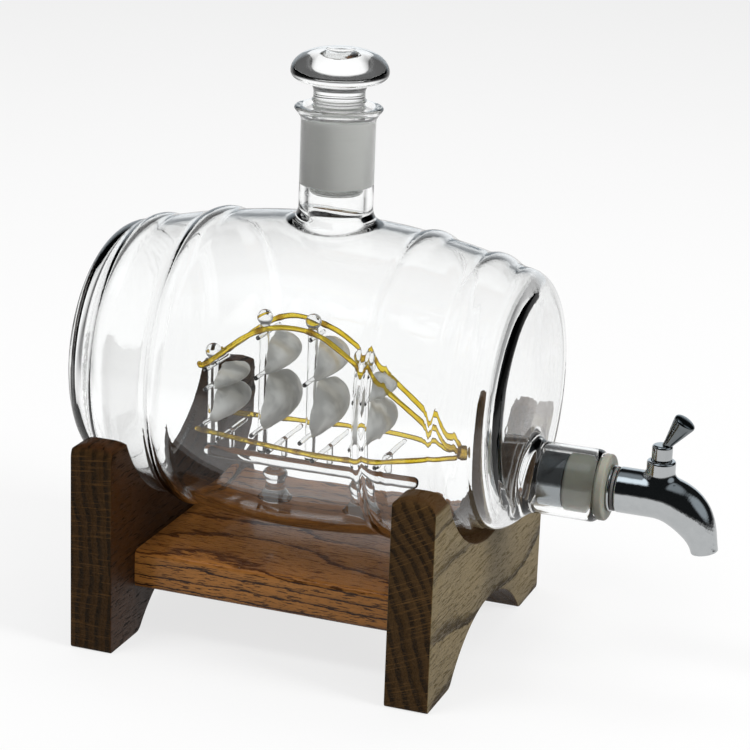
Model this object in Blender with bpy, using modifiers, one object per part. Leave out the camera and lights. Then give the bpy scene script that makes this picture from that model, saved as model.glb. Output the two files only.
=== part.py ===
"""Barrel decanter with tap.

A lampworked glass barrel with a glass ship inside lies on two oak cradles. It fills through
a ground neck with a glass stopper, and pours through a chrome tap in a silicone seal.
Lengths are in metres. The barrel's axis lies along X, the tap points to +X, and the stand's
feet are on Z = 0.
"""

import math

import bmesh
import bpy
from mathutils import Vector

# Fits, and how finely round shapes are made
SEAT_GAP = 0.0003            # between pieces that rest on or against each other
CUT_OVERRUN = 0.002          # by which a cutter passes the face that it cuts
MERGE_DISTANCE = 0.00001
FRAME_SIZE = 0.010           # drawn size of the empties
SMOOTH_ANGLE = math.radians(35)
BARREL_STEPS = 32
TUBE_STEPS = 24
SMALL_STEPS = 16
THIN_STEPS = 10
YARD_STEPS = 6
ARC_STEPS = 4

# Oak stand
CRADLE_THICKNESS = 0.0170
HORN_WIDTH = 0.0125           # of each horn's top, outside the seat
CRADLE_HEIGHT = 0.0822
HORN_DROPS = {"front": (0.0070, 0.0040), "rear": (0.0028, 0.0028)}  # rounding to each face
HORN_STEPS = 4
CRADLE_SETBACK = 0.0311      # inner face, behind the barrel's end
SEAT_EASE = 0.0064           # by which the seat's curve is wider than the barrel there
CRADLE_CORNER = 0.0050
SEAT_STEPS = 12
ARCH_HALF_WIDTH = 0.0430
ARCH_HEIGHT = 0.0203
ARCH_STEPS = 8
ARCH_CORNER = 0.0045         # rounding where the arch meets the foot
BOARD_HALF_WIDTH = 0.0481
BOARD_THICKNESS = 0.0152
BOARD_EDGE_ROUND = 0.0025
DOWEL_RADIUS = 0.0040
DOWEL_IN_BOARD = 0.0160
DOWEL_IN_CRADLE = 0.0110
DOWEL_SPREAD = 0.0290        # from the middle plane to each dowel
DOWEL_CHAMFER = 0.0008

# Glass barrel
BARREL_LENGTH = 0.1728
BELLY_RADIUS = 0.0610
END_RADIUS = 0.0466          # where the side would meet the end without its rounding
END_ROUND = 0.0100
END_DOME = 0.0015            # how far the middle of each end bulges past its rounding
END_DOME_SHARES = ((0.0, 1.0), (0.55, 0.75))
GLASS_WALL = 0.0030
END_WALL = 0.0045
HOOP_RISE = 0.0016
HOOP_WIDTH = 0.0110
HOOP_SETBACKS = {"front": (0.0177, 0.0474), "rear": (0.0154, 0.0419)}  # middles, from that end
SIDE_STATION = 0.0200        # largest step along the side between hoops

# Glass neck and its ground joint
NECK_X = 0.0044              # in front of the barrel's middle
NECK_RISE = 0.0430           # rim above the top of the barrel's side
NECK_RADIUS = 0.0141
LIP_RADIUS = 0.0169
LIP_DEPTH = 0.0030
LIP_UNDERCUT = 0.0016
JOINT_TOP_RADIUS = 0.0120
JOINT_BOTTOM_RADIUS = 0.0106
JOINT_LENGTH = 0.0290
JOINT_DROP = 0.0045          # top of the ground cone, under the rim
NECK_FLARE = 0.0036
NECK_FLARE_RISE = 0.0055
NECK_FLARE_POWER = 2.2
NECK_FOOT_DROP = 0.0045      # its foot runs down this far, and is cut to the barrel's side
NECK_FOOT_SPREAD = 0.0025

# Glass spigot
SPIGOT_DROP = 0.0291         # its axis, under the barrel's axis
SPIGOT_RADIUS = 0.01375
SPIGOT_BORE = 0.0112
SPIGOT_REACH = 0.0275        # past the barrel's front end
SPIGOT_LIP_ROUND = 0.0012
SPIGOT_FLARE = 0.0028
SPIGOT_FLARE_LENGTH = 0.0045

# Stopper
PLUG_WALL = 0.0018
PLUG_BOTTOM_ROUND = 0.0020
PLUG_SHOULDER_RADIUS = 0.0086
STEM_RADIUS = 0.0098
STEM_RIDGE = 0.0005
STEM_HEIGHT = 0.0123
CAP_RADIUS = 0.0185
CAP_UNDERSIDE_RADIUS = 0.0125
CAP_HEIGHT = 0.0130
CAP_BUTTON_RADIUS = 0.0052
CAP_BUTTON_RISE = 0.0006
CAP_WIDEST_SHARE = 0.31      # height of the widest ring, as a share of the cap

# Ship: keel, feet, masts and sails
KEEL_RADIUS = 0.0024
KEEL_RISE = 0.0179           # above the lowest point inside the barrel
KEEL_REAR_X = -0.0475
KEEL_FRONT_X = 0.0420
FOOT_XS = {"rear": -0.0172, "front": 0.0188}
FOOT_TOP_RADIUS = 0.0034
FOOT_BEAD_RADIUS = 0.0050
FOOT_WAIST_RADIUS = 0.0038
FOOT_BASE_RADIUS = 0.0080
MAST_RADIUS = 0.0020
MAST_BALL_RADIUS = 0.0031
MAST_BALL_STEPS = 5
YARD_RADIUS = 0.0009
SAIL_THICKNESS = 0.0014
SAIL_BELLY = 0.0052
SAIL_SIDE_FALL_SHARE = 0.55  # how much of the belly is lost at a sail's sides
SAIL_YARD_LAP = 0.0006       # by which a sail stops short of its yards' middles

# For each mast, stern to bow. Heights are from the keel, and half widths from the middle plane:
# of the sails at the top and at the foot, and out to the stays. The lowest yard is on the rails
MAST_XS = (-0.0443, -0.0229, -0.0029, 0.0173)
MAST_BALL_HEIGHTS = (0.0416, 0.0583, 0.0592, 0.0479)
TOP_YARD_HEIGHTS = (0.0371, 0.0529, 0.0537, 0.0423)
MIDDLE_YARD_HEIGHTS = (0.0291, 0.0371, 0.0371, 0.0321)
SAIL_TOP_REACHES = (0.0080, 0.0085, 0.0080, 0.0045)
SAIL_LOW_REACHES = (0.0135, 0.0150, 0.0150, 0.0140)
STAY_REACHES = (0.0105, 0.0106, 0.0068, 0.0066)

# Ship: amber rods and what they rest on
AMBER_RADIUS = 0.0011
HULL_STERN_X = -0.0455
HULL_BOW_X = 0.0600
HULL_HALF_BREADTH = 0.0190
HULL_RISE = 0.0124           # lowest rail height, above the keel
HULL_BOW_SHEER = 0.0022
HULL_STERN_SHEER = 0.0006
BREADTH_SHARES = ((0.0, 0.62), (0.25, 0.84), (0.45, 0.98), (0.6, 1.0), (0.75, 0.84), (0.9, 0.40), (1.0, 0.085))
RAIL_POINTS = 11
KNOB_RADIUS = 0.0030
KNOB_SETBACK = 0.0007
THWART_XS = {"stern": -0.0360, "aft": -0.0135, "middle": 0.0055, "bow": 0.0300}
THWART_RADIUS = 0.0010
THWART_OVERHANG = 0.0010
POST_RADIUS = 0.0012
STAY_STERN_FALL = 0.0008
STAY_CLEARANCE = 0.0009      # over the upper yards, which the stays cross at a slope
STAY_BOW_RISE = 0.0025       # above the rails' height at the bow

# Tap: seal, nut, shank, collar and washer, all on the spigot's axis
NUT_RADIUS = 0.0103
NUT_LENGTH = 0.0100
NUT_CHAMFER = 0.0006
SEAL_IN_SPIGOT = 0.0120
SEAL_FLANGE_RADIUS = 0.0126
SEAL_FLANGE_THICKNESS = 0.0036
SEAL_FLANGE_ROUND = 0.0010
SHANK_RADIUS = 0.0043
SHANK_PAST_NUT = 0.0008
SHANK_IN_BODY = 0.0055
COLLAR_RADIUS = 0.0088
COLLAR_THICKNESS = 0.0010
WASHER_RADIUS = 0.0084
WASHER_THICKNESS = 0.0011
WATERWAY_RADIUS = 0.0025

# Tap body: a straight barrel that bends down into a tapering spout
TAP_BODY_RADIUS = 0.0086
TAP_STRAIGHT = 0.0130
SPOUT_REACH = 0.0213
SPOUT_DROP = 0.0195
SPOUT_TIP_RADIUS = 0.0051
SPOUT_TIP_BORE = 0.0037
SPOUT_STEPS = 9
SPOUT_TAPER_POWER = 1.3
SPOUT_TAPER_START_SHARE = 0.25
SPOUT_HANDLE_SHARES = ((0.587, 0.0), (0.892, 0.41))
BODY_REAR_STEP = 0.0007
BODY_REAR_STEP_LENGTH = 0.0012

# Tap valve, on its own upright axis
VALVE_X = 0.0156             # in front of the tap body's rear face
BOSS_RADIUS = 0.0054
BOSS_RISE = 0.0138           # above the tap's axis
BOSS_EDGE = 0.0004
CHAMBER_RADIUS = 0.0039
CHAMBER_DROP = 0.0058
PLUG_RADIUS = 0.0036
PLUG_TAPER = 0.0004
PLUG_RISE = 0.0052
VALVE_STEM_RADIUS = 0.0022
O_RING_RADIUS = 0.00055
GLAND_THICKNESS = 0.0030
STEM_CAP_RADIUS = 0.00385
STEM_CAP_HEIGHT = 0.0058
STEM_CAP_EDGE = 0.0005
STEM_CAP_ROOF = 0.0018
LEVER_ROOT_RADIUS = 0.0018
LEVER_END_RADIUS = 0.0043
LEVER_END_ROUND = 0.0010
LEVER_LENGTH = 0.0126
LEVER_ROOT_DEPTH = 0.0012
LEVER_PITCH = math.radians(58)
LEVER_OUT = 0.0016           # where the lever's axis crosses the cap's top

# Values worked out from the sizes above
HALF_LENGTH = BARREL_LENGTH / 2
CRADLE_INNER_X = HALF_LENGTH - CRADLE_SETBACK
HOOP_XS = [HALF_LENGTH - setback for setback in HOOP_SETBACKS["front"]]
HOOP_XS += [setback - HALF_LENGTH for setback in reversed(HOOP_SETBACKS["rear"])]
SEAT_BARREL_RADIUS = BELLY_RADIUS - (BELLY_RADIUS - END_RADIUS) * (CRADLE_INNER_X / HALF_LENGTH) ** 2
BOARD_TOP_Z = ARCH_HEIGHT + BOARD_THICKNESS
BARREL_CLEARANCE = 0.0056    # between the barrel's hoops and the board
BARREL_AXIS_Z = BOARD_TOP_Z + BARREL_CLEARANCE + BELLY_RADIUS
SEAT_BOTTOM_Z = BARREL_AXIS_Z - SEAT_BARREL_RADIUS - SEAT_GAP
CRADLE_SEAT_RADIUS = SEAT_BARREL_RADIUS + SEAT_EASE
SEAT_CENTRE_Z = SEAT_BOTTOM_Z + CRADLE_SEAT_RADIUS
SEAT_TOP_REACH = math.sqrt(CRADLE_SEAT_RADIUS ** 2 - (SEAT_CENTRE_Z - CRADLE_HEIGHT) ** 2)
CRADLE_HALF_WIDTH = SEAT_TOP_REACH + HORN_WIDTH
KEEL_DROP = BELLY_RADIUS - GLASS_WALL - KEEL_RISE
HULL_DROP = KEEL_DROP - HULL_RISE
RIM_RISE = BELLY_RADIUS + NECK_RISE
TUBE_END_X = HALF_LENGTH + SPIGOT_REACH
HULL_LENGTH = HULL_BOW_X - HULL_STERN_X

FINISHES = {
    "oak": {"colour": (0.17, 0.09, 0.045), "roughness": 0.45},
    "dowel": {"colour": (0.55, 0.38, 0.20), "roughness": 0.60},
    "clear_glass": {"colour": (0.93, 0.96, 0.96), "roughness": 0.02, "clear": 1.0},
    "frosted_glass": {"colour": (0.70, 0.71, 0.70), "roughness": 0.55, "clear": 0.7},
    "amber_glass": {"colour": (0.85, 0.62, 0.10), "roughness": 0.06, "clear": 0.6},
    "chrome": {"colour": (0.78, 0.80, 0.82), "roughness": 0.07, "metal": 1.0},
    "brass": {"colour": (0.72, 0.56, 0.26), "roughness": 0.25, "metal": 1.0},
    "silicone": {"colour": (0.52, 0.53, 0.49), "roughness": 0.45},
    "rubber": {"colour": (0.05, 0.05, 0.05), "roughness": 0.70},
}

COLLECTIONS = {}


def clear_scene():
    for obj in list(bpy.data.objects):
        bpy.data.objects.remove(obj, do_unlink=True)


def make_collections():
    for key, name in (("parts", "barrel_decanter"), ("tools", "cutters")):
        collection = bpy.data.collections.new(name)
        bpy.context.scene.collection.children.link(collection)
        COLLECTIONS[key] = collection


def make_material(name, finish):
    """One Principled material for one piece."""
    values = FINISHES[finish]
    material = bpy.data.materials.new(name)
    material.use_nodes = True
    shader = material.node_tree.nodes["Principled BSDF"]
    shader.inputs["Base Color"].default_value = (*values["colour"], 1.0)
    shader.inputs["Roughness"].default_value = values["roughness"]
    shader.inputs["Metallic"].default_value = values.get("metal", 0.0)
    shader.inputs["Transmission Weight"].default_value = values.get("clear", 0.0)
    material.diffuse_color = (*values["colour"], 1.0)
    return material


def make_frame(name, parent=None, place=(0, 0, 0)):
    """An empty that carries the pieces of one body."""
    frame = bpy.data.objects.new(name, None)
    frame.empty_display_size = FRAME_SIZE
    frame.location = place
    frame.parent = parent
    COLLECTIONS["parts"].objects.link(frame)
    return frame


def make_object(name, data, parent, finish=None, place=(0, 0, 0), turn=(0, 0, 0)):
    """A piece of the decanter, or a hidden cutter when it has no finish."""
    obj = bpy.data.objects.new(name, data)
    obj.location = place
    obj.rotation_euler = turn
    obj.parent = parent
    if finish:
        COLLECTIONS["parts"].objects.link(obj)
        data.materials.append(make_material(name, finish))
    else:
        COLLECTIONS["tools"].objects.link(obj)
        obj.hide_render = True
        obj.display_type = "WIRE"
    return obj


ALONG_X = (0, math.pi / 2, 0)
ALONG_Y = (-math.pi / 2, 0, 0)


def turned(name, outlines, parent, finish=None, place=(0, 0, 0), turn=(0, 0, 0), steps=TUBE_STEPS):
    """Turn outlines of (radius, height) points about Z. A closed outline is a ring."""
    mesh = bpy.data.meshes.new(name)
    points = []
    edges = []
    for outline, closed in outlines:
        first = len(points)
        points += [(radius, 0.0, height) for radius, height in outline]
        edges += [(first + i, first + i + 1) for i in range(len(outline) - 1)]
        if closed:
            edges.append((len(points) - 1, first))
    mesh.from_pydata(points, edges, [])
    obj = make_object(name, mesh, parent, finish, place, turn)
    screw = obj.modifiers.new("turn", "SCREW")
    screw.axis = "Z"
    screw.steps = steps
    screw.render_steps = steps
    screw.use_merge_vertices = True
    screw.merge_threshold = MERGE_DISTANCE
    screw.use_smooth_shade = True
    return obj


def solid_round(radius, low, high, chamfer=0.0):
    """Outline of a plain or chamfered cylinder from low to high."""
    if not chamfer:
        return [(0, high), (radius, high), (radius, low), (0, low)]
    return [
        (0, high), (radius - chamfer, high), (radius, high - chamfer),
        (radius, low + chamfer), (radius - chamfer, low), (0, low),
    ]


def ring(outer, inner, low, high, edge=0.0):
    """Closed outline of a ring whose outer edges may be chamfered."""
    if not edge:
        return [(outer, high), (outer, low), (inner, low), (inner, high)]
    return [
        (outer - edge, high), (outer, high - edge), (outer, low + edge),
        (outer - edge, low), (inner, low), (inner, high),
    ]


def arc(centre, radius, start, end, steps):
    """Points on a circle from one angle to the other, both ends included."""
    points = []
    for i in range(steps + 1):
        angle = start + (end - start) * i / steps
        points.append((centre[0] + radius * math.cos(angle), centre[1] + radius * math.sin(angle)))
    return points


def smooth_path(points, count):
    """Resample a smooth curve through points to count points, evenly in the curve's own steps."""
    spans = len(points) - 1
    result = []
    for i in range(count):
        position = spans * i / (count - 1)
        span = min(int(position), spans - 1)
        t = position - span
        before = points[max(span - 1, 0)]
        here = points[span]
        there = points[span + 1]
        after = points[min(span + 2, spans)]
        result.append(
            0.5 * ((2 * here) + (there - before) * t + (2 * before - 5 * here + 4 * there - after) * t ** 2
                   + (3 * here - before - 3 * there + after) * t ** 3)
        )
    return result


def rod(name, points, radius, parent, finish=None, shares=None, sides=1):
    """A round rod along points, as a curve with filled ends. Shares scale the radius."""
    curve = bpy.data.curves.new(name, "CURVE")
    curve.dimensions = "3D"
    curve.bevel_depth = radius
    curve.bevel_resolution = sides
    curve.use_fill_caps = True
    spline = curve.splines.new("POLY")
    spline.points.add(len(points) - 1)
    for i, point in enumerate(points):
        spline.points[i].co = (*point, 1.0)
        spline.points[i].radius = shares[i] if shares else 1.0
    return make_object(name, curve, parent, finish)


def as_mesh(curve_object, finish=None):
    """Replace a curve object by a closed mesh object of the same name, for cutting or joining."""
    bpy.context.view_layer.update()
    graph = bpy.context.evaluated_depsgraph_get()
    mesh = bpy.data.meshes.new_from_object(curve_object.evaluated_get(graph))
    work = bmesh.new()
    work.from_mesh(mesh)
    bmesh.ops.remove_doubles(work, verts=work.verts, dist=MERGE_DISTANCE)
    bmesh.ops.recalc_face_normals(work, faces=work.faces)
    work.to_mesh(mesh)
    work.free()
    mesh.materials.clear()
    name = curve_object.name
    parent = curve_object.parent
    world = curve_object.matrix_world.copy()
    bpy.data.objects.remove(curve_object, do_unlink=True)
    obj = make_object(name, mesh, parent, finish)
    bpy.context.view_layer.update()
    obj.matrix_world = world
    smooth(obj)
    return obj


def smooth(obj):
    obj.data.shade_smooth()
    obj.data.set_sharp_from_angle(angle=SMOOTH_ANGLE)


def combine(piece, tool, operation):
    """Cut, join or keep the common part of a piece and a tool."""
    boolean = piece.modifiers.new(operation.lower(), "BOOLEAN")
    boolean.object = tool
    boolean.operation = operation
    boolean.solver = "EXACT"


def bar_between(name, radius, low, high, parent, finish=None, place=(0, 0, 0), turn=(0, 0, 0), steps=SMALL_STEPS):
    """A plain round bar along its own Z."""
    return turned(name, [(solid_round(radius, low, high), False)], parent, finish, place, turn, steps)


# Oak stand


def rounded_corner(before, corner, after, radius):
    """Points that round one corner of an outline."""
    corner = Vector(corner)
    towards_before = (Vector(before) - corner).normalized()
    towards_after = (Vector(after) - corner).normalized()
    half_angle = towards_before.angle(towards_after) / 2
    reach = radius / math.tan(half_angle)
    start = corner + towards_before * reach
    end = corner + towards_after * reach
    points = []
    for i in range(ARC_STEPS + 1):
        t = i / ARC_STEPS
        points.append(tuple(start * (1 - t) ** 2 + corner * (2 * t * (1 - t)) + end * t ** 2))
    return points


def cradle_half_outline():
    """From the top of the arch round the foot and the horn to the bottom of the seat."""
    arch_radius = (ARCH_HALF_WIDTH ** 2 + ARCH_HEIGHT ** 2) / (2 * ARCH_HEIGHT)
    arch_centre = (0, ARCH_HEIGHT - arch_radius)
    arch_end = math.asin((arch_radius - ARCH_HEIGHT) / arch_radius)
    arch = arc(arch_centre, arch_radius, math.pi / 2, arch_end, ARCH_STEPS)
    seat_centre = (0, SEAT_CENTRE_Z)
    seat_start = -math.asin((seat_centre[1] - CRADLE_HEIGHT) / CRADLE_SEAT_RADIUS)
    seat = arc(seat_centre, CRADLE_SEAT_RADIUS, seat_start, -math.pi / 2, SEAT_STEPS)
    horn_tip = seat[0]
    top_corner = (CRADLE_HALF_WIDTH, CRADLE_HEIGHT)
    foot_corner = (CRADLE_HALF_WIDTH, 0)
    outline = arch[:-1]
    outline += rounded_corner(arch[-2], arch[-1], foot_corner, ARCH_CORNER)
    outline.append(foot_corner)
    outline += rounded_corner(foot_corner, top_corner, horn_tip, CRADLE_CORNER)
    outline += rounded_corner(top_corner, horn_tip, seat[1], CRADLE_CORNER / 4)
    outline += seat[1:]
    return outline


def flat_board(name, outline, thickness, parent, place, turn, finish="oak"):
    """A flat outline, filled and given a thickness, as a mesh that can be cut."""
    curve = bpy.data.curves.new(name, "CURVE")
    curve.dimensions = "2D"
    curve.fill_mode = "BOTH"
    curve.extrude = thickness / 2
    spline = curve.splines.new("POLY")
    spline.points.add(len(outline) - 1)
    for i, (across, up) in enumerate(outline):
        spline.points[i].co = (across, up, 0.0, 1.0)
    spline.use_cyclic_u = True
    return as_mesh(make_object(name, curve, parent, None, place, turn), finish)


def make_cradle(name, side, stand):
    """One upright board. Side is 1 for the front and -1 for the rear."""
    half = cradle_half_outline()
    outline = half + [(-across, up) for across, up in reversed(half[1:-1])]
    middle_x = side * (CRADLE_INNER_X + CRADLE_THICKNESS / 2)
    upright = (math.pi / 2, 0, math.pi / 2)
    return flat_board(name, outline, CRADLE_THICKNESS, stand, (middle_x, 0, 0), upright)


def round_horns(cradle, end, side, stand):
    """Round the tops of a cradle's horns across the board's thickness."""
    half = CRADLE_THICKNESS / 2 + CUT_OVERRUN / 10
    outline = [(-half, -CUT_OVERRUN), (half, -CUT_OVERRUN)]
    front_drop, rear_drop = HORN_DROPS[end]
    for i in range(2 * HORN_STEPS + 1):
        angle = math.pi / 2 * i / HORN_STEPS
        drop = front_drop if i < HORN_STEPS else rear_drop
        outline.append((half * math.cos(angle), CRADLE_HEIGHT - drop * (1 - math.sin(angle))))
    width = 2 * (CRADLE_HALF_WIDTH + CUT_OVERRUN)
    place = (side * (CRADLE_INNER_X + CRADLE_THICKNESS / 2), 0, 0)
    shape = flat_board(end + "_horn_shape", outline, width, stand, place, (math.pi / 2, 0, 0), None)
    combine(cradle, shape, "INTERSECT")


def make_stand(stand):
    cradles = {"front": make_cradle("front_cradle", 1, stand), "rear": make_cradle("rear_cradle", -1, stand)}
    round_horns(cradles["front"], "front", 1, stand)
    round_horns(cradles["rear"], "rear", -1, stand)
    board_length = 2 * (CRADLE_INNER_X - SEAT_GAP)
    work = bmesh.new()
    bmesh.ops.create_cube(work, size=1.0)
    bmesh.ops.scale(work, vec=(board_length, 2 * BOARD_HALF_WIDTH, BOARD_THICKNESS), verts=work.verts)
    mesh = bpy.data.meshes.new("cross_board")
    long_edges = [e for e in work.edges if abs(e.verts[0].co.x - e.verts[1].co.x) > BOARD_EDGE_ROUND]
    bmesh.ops.bevel(work, geom=long_edges, offset=BOARD_EDGE_ROUND, segments=ARC_STEPS, affect="EDGES", profile=0.5)
    work.to_mesh(mesh)
    work.free()
    dowel_z = ARCH_HEIGHT + BOARD_THICKNESS / 2
    board = make_object("cross_board", mesh, stand, "oak", (0, 0, dowel_z))
    smooth(board)
    for end, side in (("front", 1), ("rear", -1)):
        for hand, across in (("left", 1), ("right", -1)):
            name = f"dowel_{end}_{hand}"
            middle_x = side * (CRADLE_INNER_X + (DOWEL_IN_CRADLE - DOWEL_IN_BOARD) / 2)
            half = (DOWEL_IN_CRADLE + DOWEL_IN_BOARD) / 2
            place = (middle_x, across * DOWEL_SPREAD, dowel_z)
            bore = DOWEL_RADIUS + SEAT_GAP
            hole = bar_between(name + "_hole", bore, -half, half, stand, None, place, ALONG_X, THIN_STEPS)
            outline = solid_round(DOWEL_RADIUS, SEAT_GAP - half, half - SEAT_GAP, DOWEL_CHAMFER)
            turned(name, [(outline, False)], stand, "dowel", place, ALONG_X, THIN_STEPS)
            combine(board, hole, "DIFFERENCE")
            combine(cradles[end], hole, "DIFFERENCE")


# Glass vessel


def side_radius(x):
    """Radius of the barrel's side without its hoops."""
    return BELLY_RADIUS - (BELLY_RADIUS - END_RADIUS) * (x / HALF_LENGTH) ** 2


def hoop_rise(x):
    """How far the hoops stand out of the side."""
    for middle in HOOP_XS:
        share = (x - middle) / (HOOP_WIDTH / 2)
        if abs(share) < 1:
            return HOOP_RISE * math.cos(share * math.pi / 2) ** 0.8
    return 0.0


def side_stations(end_x):
    """Places along the side, front to rear, closer together on the hoops."""
    stops = [end_x, -end_x]
    for middle in HOOP_XS:
        stops += [middle + HOOP_WIDTH / 2 * share for share in (1, 0.6, 0, -0.6, -1)]
    stops = sorted([x for x in stops if abs(x) <= end_x], reverse=True)
    stations = [stops[0]]
    for start, end in zip(stops, stops[1:]):
        pieces = max(1, math.ceil((start - end) / SIDE_STATION))
        stations += [start + (end - start) * (i + 1) / pieces for i in range(pieces)]
    return stations


def dome(corner_r, end):
    """The slight bulge in the middle of an end, from its centre outwards."""
    return [(corner_r * out, end + END_DOME * rise) for out, rise in END_DOME_SHARES]


def barrel_outline(grow=0.0):
    """Outer outline of the barrel, front to rear, moved out by grow."""
    corner_x = HALF_LENGTH - END_ROUND
    corner_r = side_radius(corner_x) - END_ROUND
    front = [(r, x) for x, r in arc((corner_x, corner_r), END_ROUND + grow, 0, math.pi / 2, ARC_STEPS)]
    side = [(side_radius(x) + hoop_rise(x) + grow, x) for x in side_stations(corner_x)[1:-1]]
    front = dome(corner_r, HALF_LENGTH + grow) + front
    return front + side + [(r, -x) for r, x in reversed(front)]


def cavity_outline(shrink=0.0):
    """Inner outline of the barrel, front to rear, moved in by shrink."""
    inner_end = HALF_LENGTH - END_WALL
    corner_x = HALF_LENGTH - END_ROUND
    corner_r = side_radius(corner_x) - END_ROUND
    reach_x = inner_end - corner_x - shrink
    reach_r = END_ROUND - GLASS_WALL - shrink
    front = []
    for i in range(ARC_STEPS + 1):
        angle = math.pi / 2 * i / ARC_STEPS
        front.append((corner_r + reach_r * math.sin(angle), corner_x + reach_x * math.cos(angle)))
    count = 2 * math.ceil(corner_x / SIDE_STATION)
    xs = [corner_x - 2 * corner_x * i / count for i in range(1, count)]
    side = [(side_radius(x) - GLASS_WALL - shrink, x) for x in xs]
    front = dome(corner_r, inner_end - shrink) + front
    return front + side + [(r, -x) for r, x in reversed(front)]


def make_barrel(barrel):
    walls = [(barrel_outline(), False), (list(reversed(cavity_outline())), False)]
    body = turned("glass_barrel", walls, barrel, "clear_glass", turn=ALONG_X, steps=BARREL_STEPS)
    neck_low = BELLY_RADIUS - GLASS_WALL - CUT_OVERRUN - NECK_FOOT_DROP
    neck_hole = bar_between(
        "neck_hole", JOINT_BOTTOM_RADIUS, neck_low, RIM_RISE, barrel, None, (NECK_X, 0, 0), steps=TUBE_STEPS
    )
    spigot_low = HALF_LENGTH - END_ROUND - CUT_OVERRUN
    spigot_hole = bar_between(
        "spigot_hole", SPIGOT_BORE, spigot_low, TUBE_END_X, barrel, None, (0, 0, -SPIGOT_DROP), ALONG_X, TUBE_STEPS
    )
    combine(body, neck_hole, "DIFFERENCE")
    combine(body, spigot_hole, "DIFFERENCE")


def make_neck(barrel):
    """Neck with a flared lip, a ground inner cone and a flared foot cut to the barrel's side."""
    foot = BELLY_RADIUS - NECK_FOOT_DROP
    flare = []
    for i in range(ARC_STEPS + 1):
        share = i / ARC_STEPS
        radius = NECK_RADIUS + NECK_FLARE * share ** NECK_FLARE_POWER
        flare.append((radius, BELLY_RADIUS + NECK_FLARE_RISE * (1 - share)))
    outline = [
        (LIP_RADIUS - LIP_UNDERCUT, RIM_RISE),
        (LIP_RADIUS, RIM_RISE - LIP_UNDERCUT / 2),
        (LIP_RADIUS - LIP_UNDERCUT / 2, RIM_RISE - LIP_DEPTH / 2 - LIP_UNDERCUT / 2),
        (NECK_RADIUS, RIM_RISE - LIP_DEPTH - LIP_UNDERCUT),
    ]
    outline += flare
    joint_top = RIM_RISE - JOINT_DROP
    outline += [
        (NECK_RADIUS + NECK_FLARE + NECK_FOOT_SPREAD, foot),
        (JOINT_BOTTOM_RADIUS, foot),
        (JOINT_BOTTOM_RADIUS, joint_top - JOINT_LENGTH),
        (JOINT_TOP_RADIUS, joint_top),
        (JOINT_TOP_RADIUS + LIP_UNDERCUT / 2, RIM_RISE - LIP_UNDERCUT / 2),
    ]
    neck = turned("glass_neck", [(outline, True)], barrel, "clear_glass", (NECK_X, 0, 0))
    combine(neck, make_barrel_space(barrel, "neck"), "DIFFERENCE")


def make_barrel_space(barrel, use):
    """The barrel's outer shape with the seat gap round it, as a cutter."""
    outline = [(barrel_outline(SEAT_GAP), False)]
    return turned("barrel_space_" + use, outline, barrel, None, turn=ALONG_X, steps=BARREL_STEPS)


def make_spigot(barrel):
    """Short tube at the foot of the front end, cut to the end's rounding."""
    low = HALF_LENGTH - END_ROUND
    flare_top = HALF_LENGTH + SPIGOT_FLARE_LENGTH
    flare = []
    for i in range(ARC_STEPS + 1):
        angle = math.pi / 2 * i / ARC_STEPS
        radius = SPIGOT_RADIUS + SPIGOT_FLARE * (1 - math.cos(angle))
        flare.append((radius, flare_top - SPIGOT_FLARE_LENGTH * math.sin(angle)))
    outline = [
        (SPIGOT_RADIUS - SPIGOT_LIP_ROUND, TUBE_END_X),
        (SPIGOT_RADIUS, TUBE_END_X - SPIGOT_LIP_ROUND),
    ]
    outline += flare
    outline += [
        (SPIGOT_RADIUS + SPIGOT_FLARE, low),
        (SPIGOT_BORE, low),
        (SPIGOT_BORE, TUBE_END_X - SPIGOT_LIP_ROUND / 2),
        (SPIGOT_BORE + SPIGOT_LIP_ROUND / 2, TUBE_END_X),
    ]
    spigot = turned("glass_spigot", [(outline, True)], barrel, "clear_glass", (0, 0, -SPIGOT_DROP), ALONG_X)
    combine(spigot, make_barrel_space(barrel, "spigot"), "DIFFERENCE")


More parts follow.
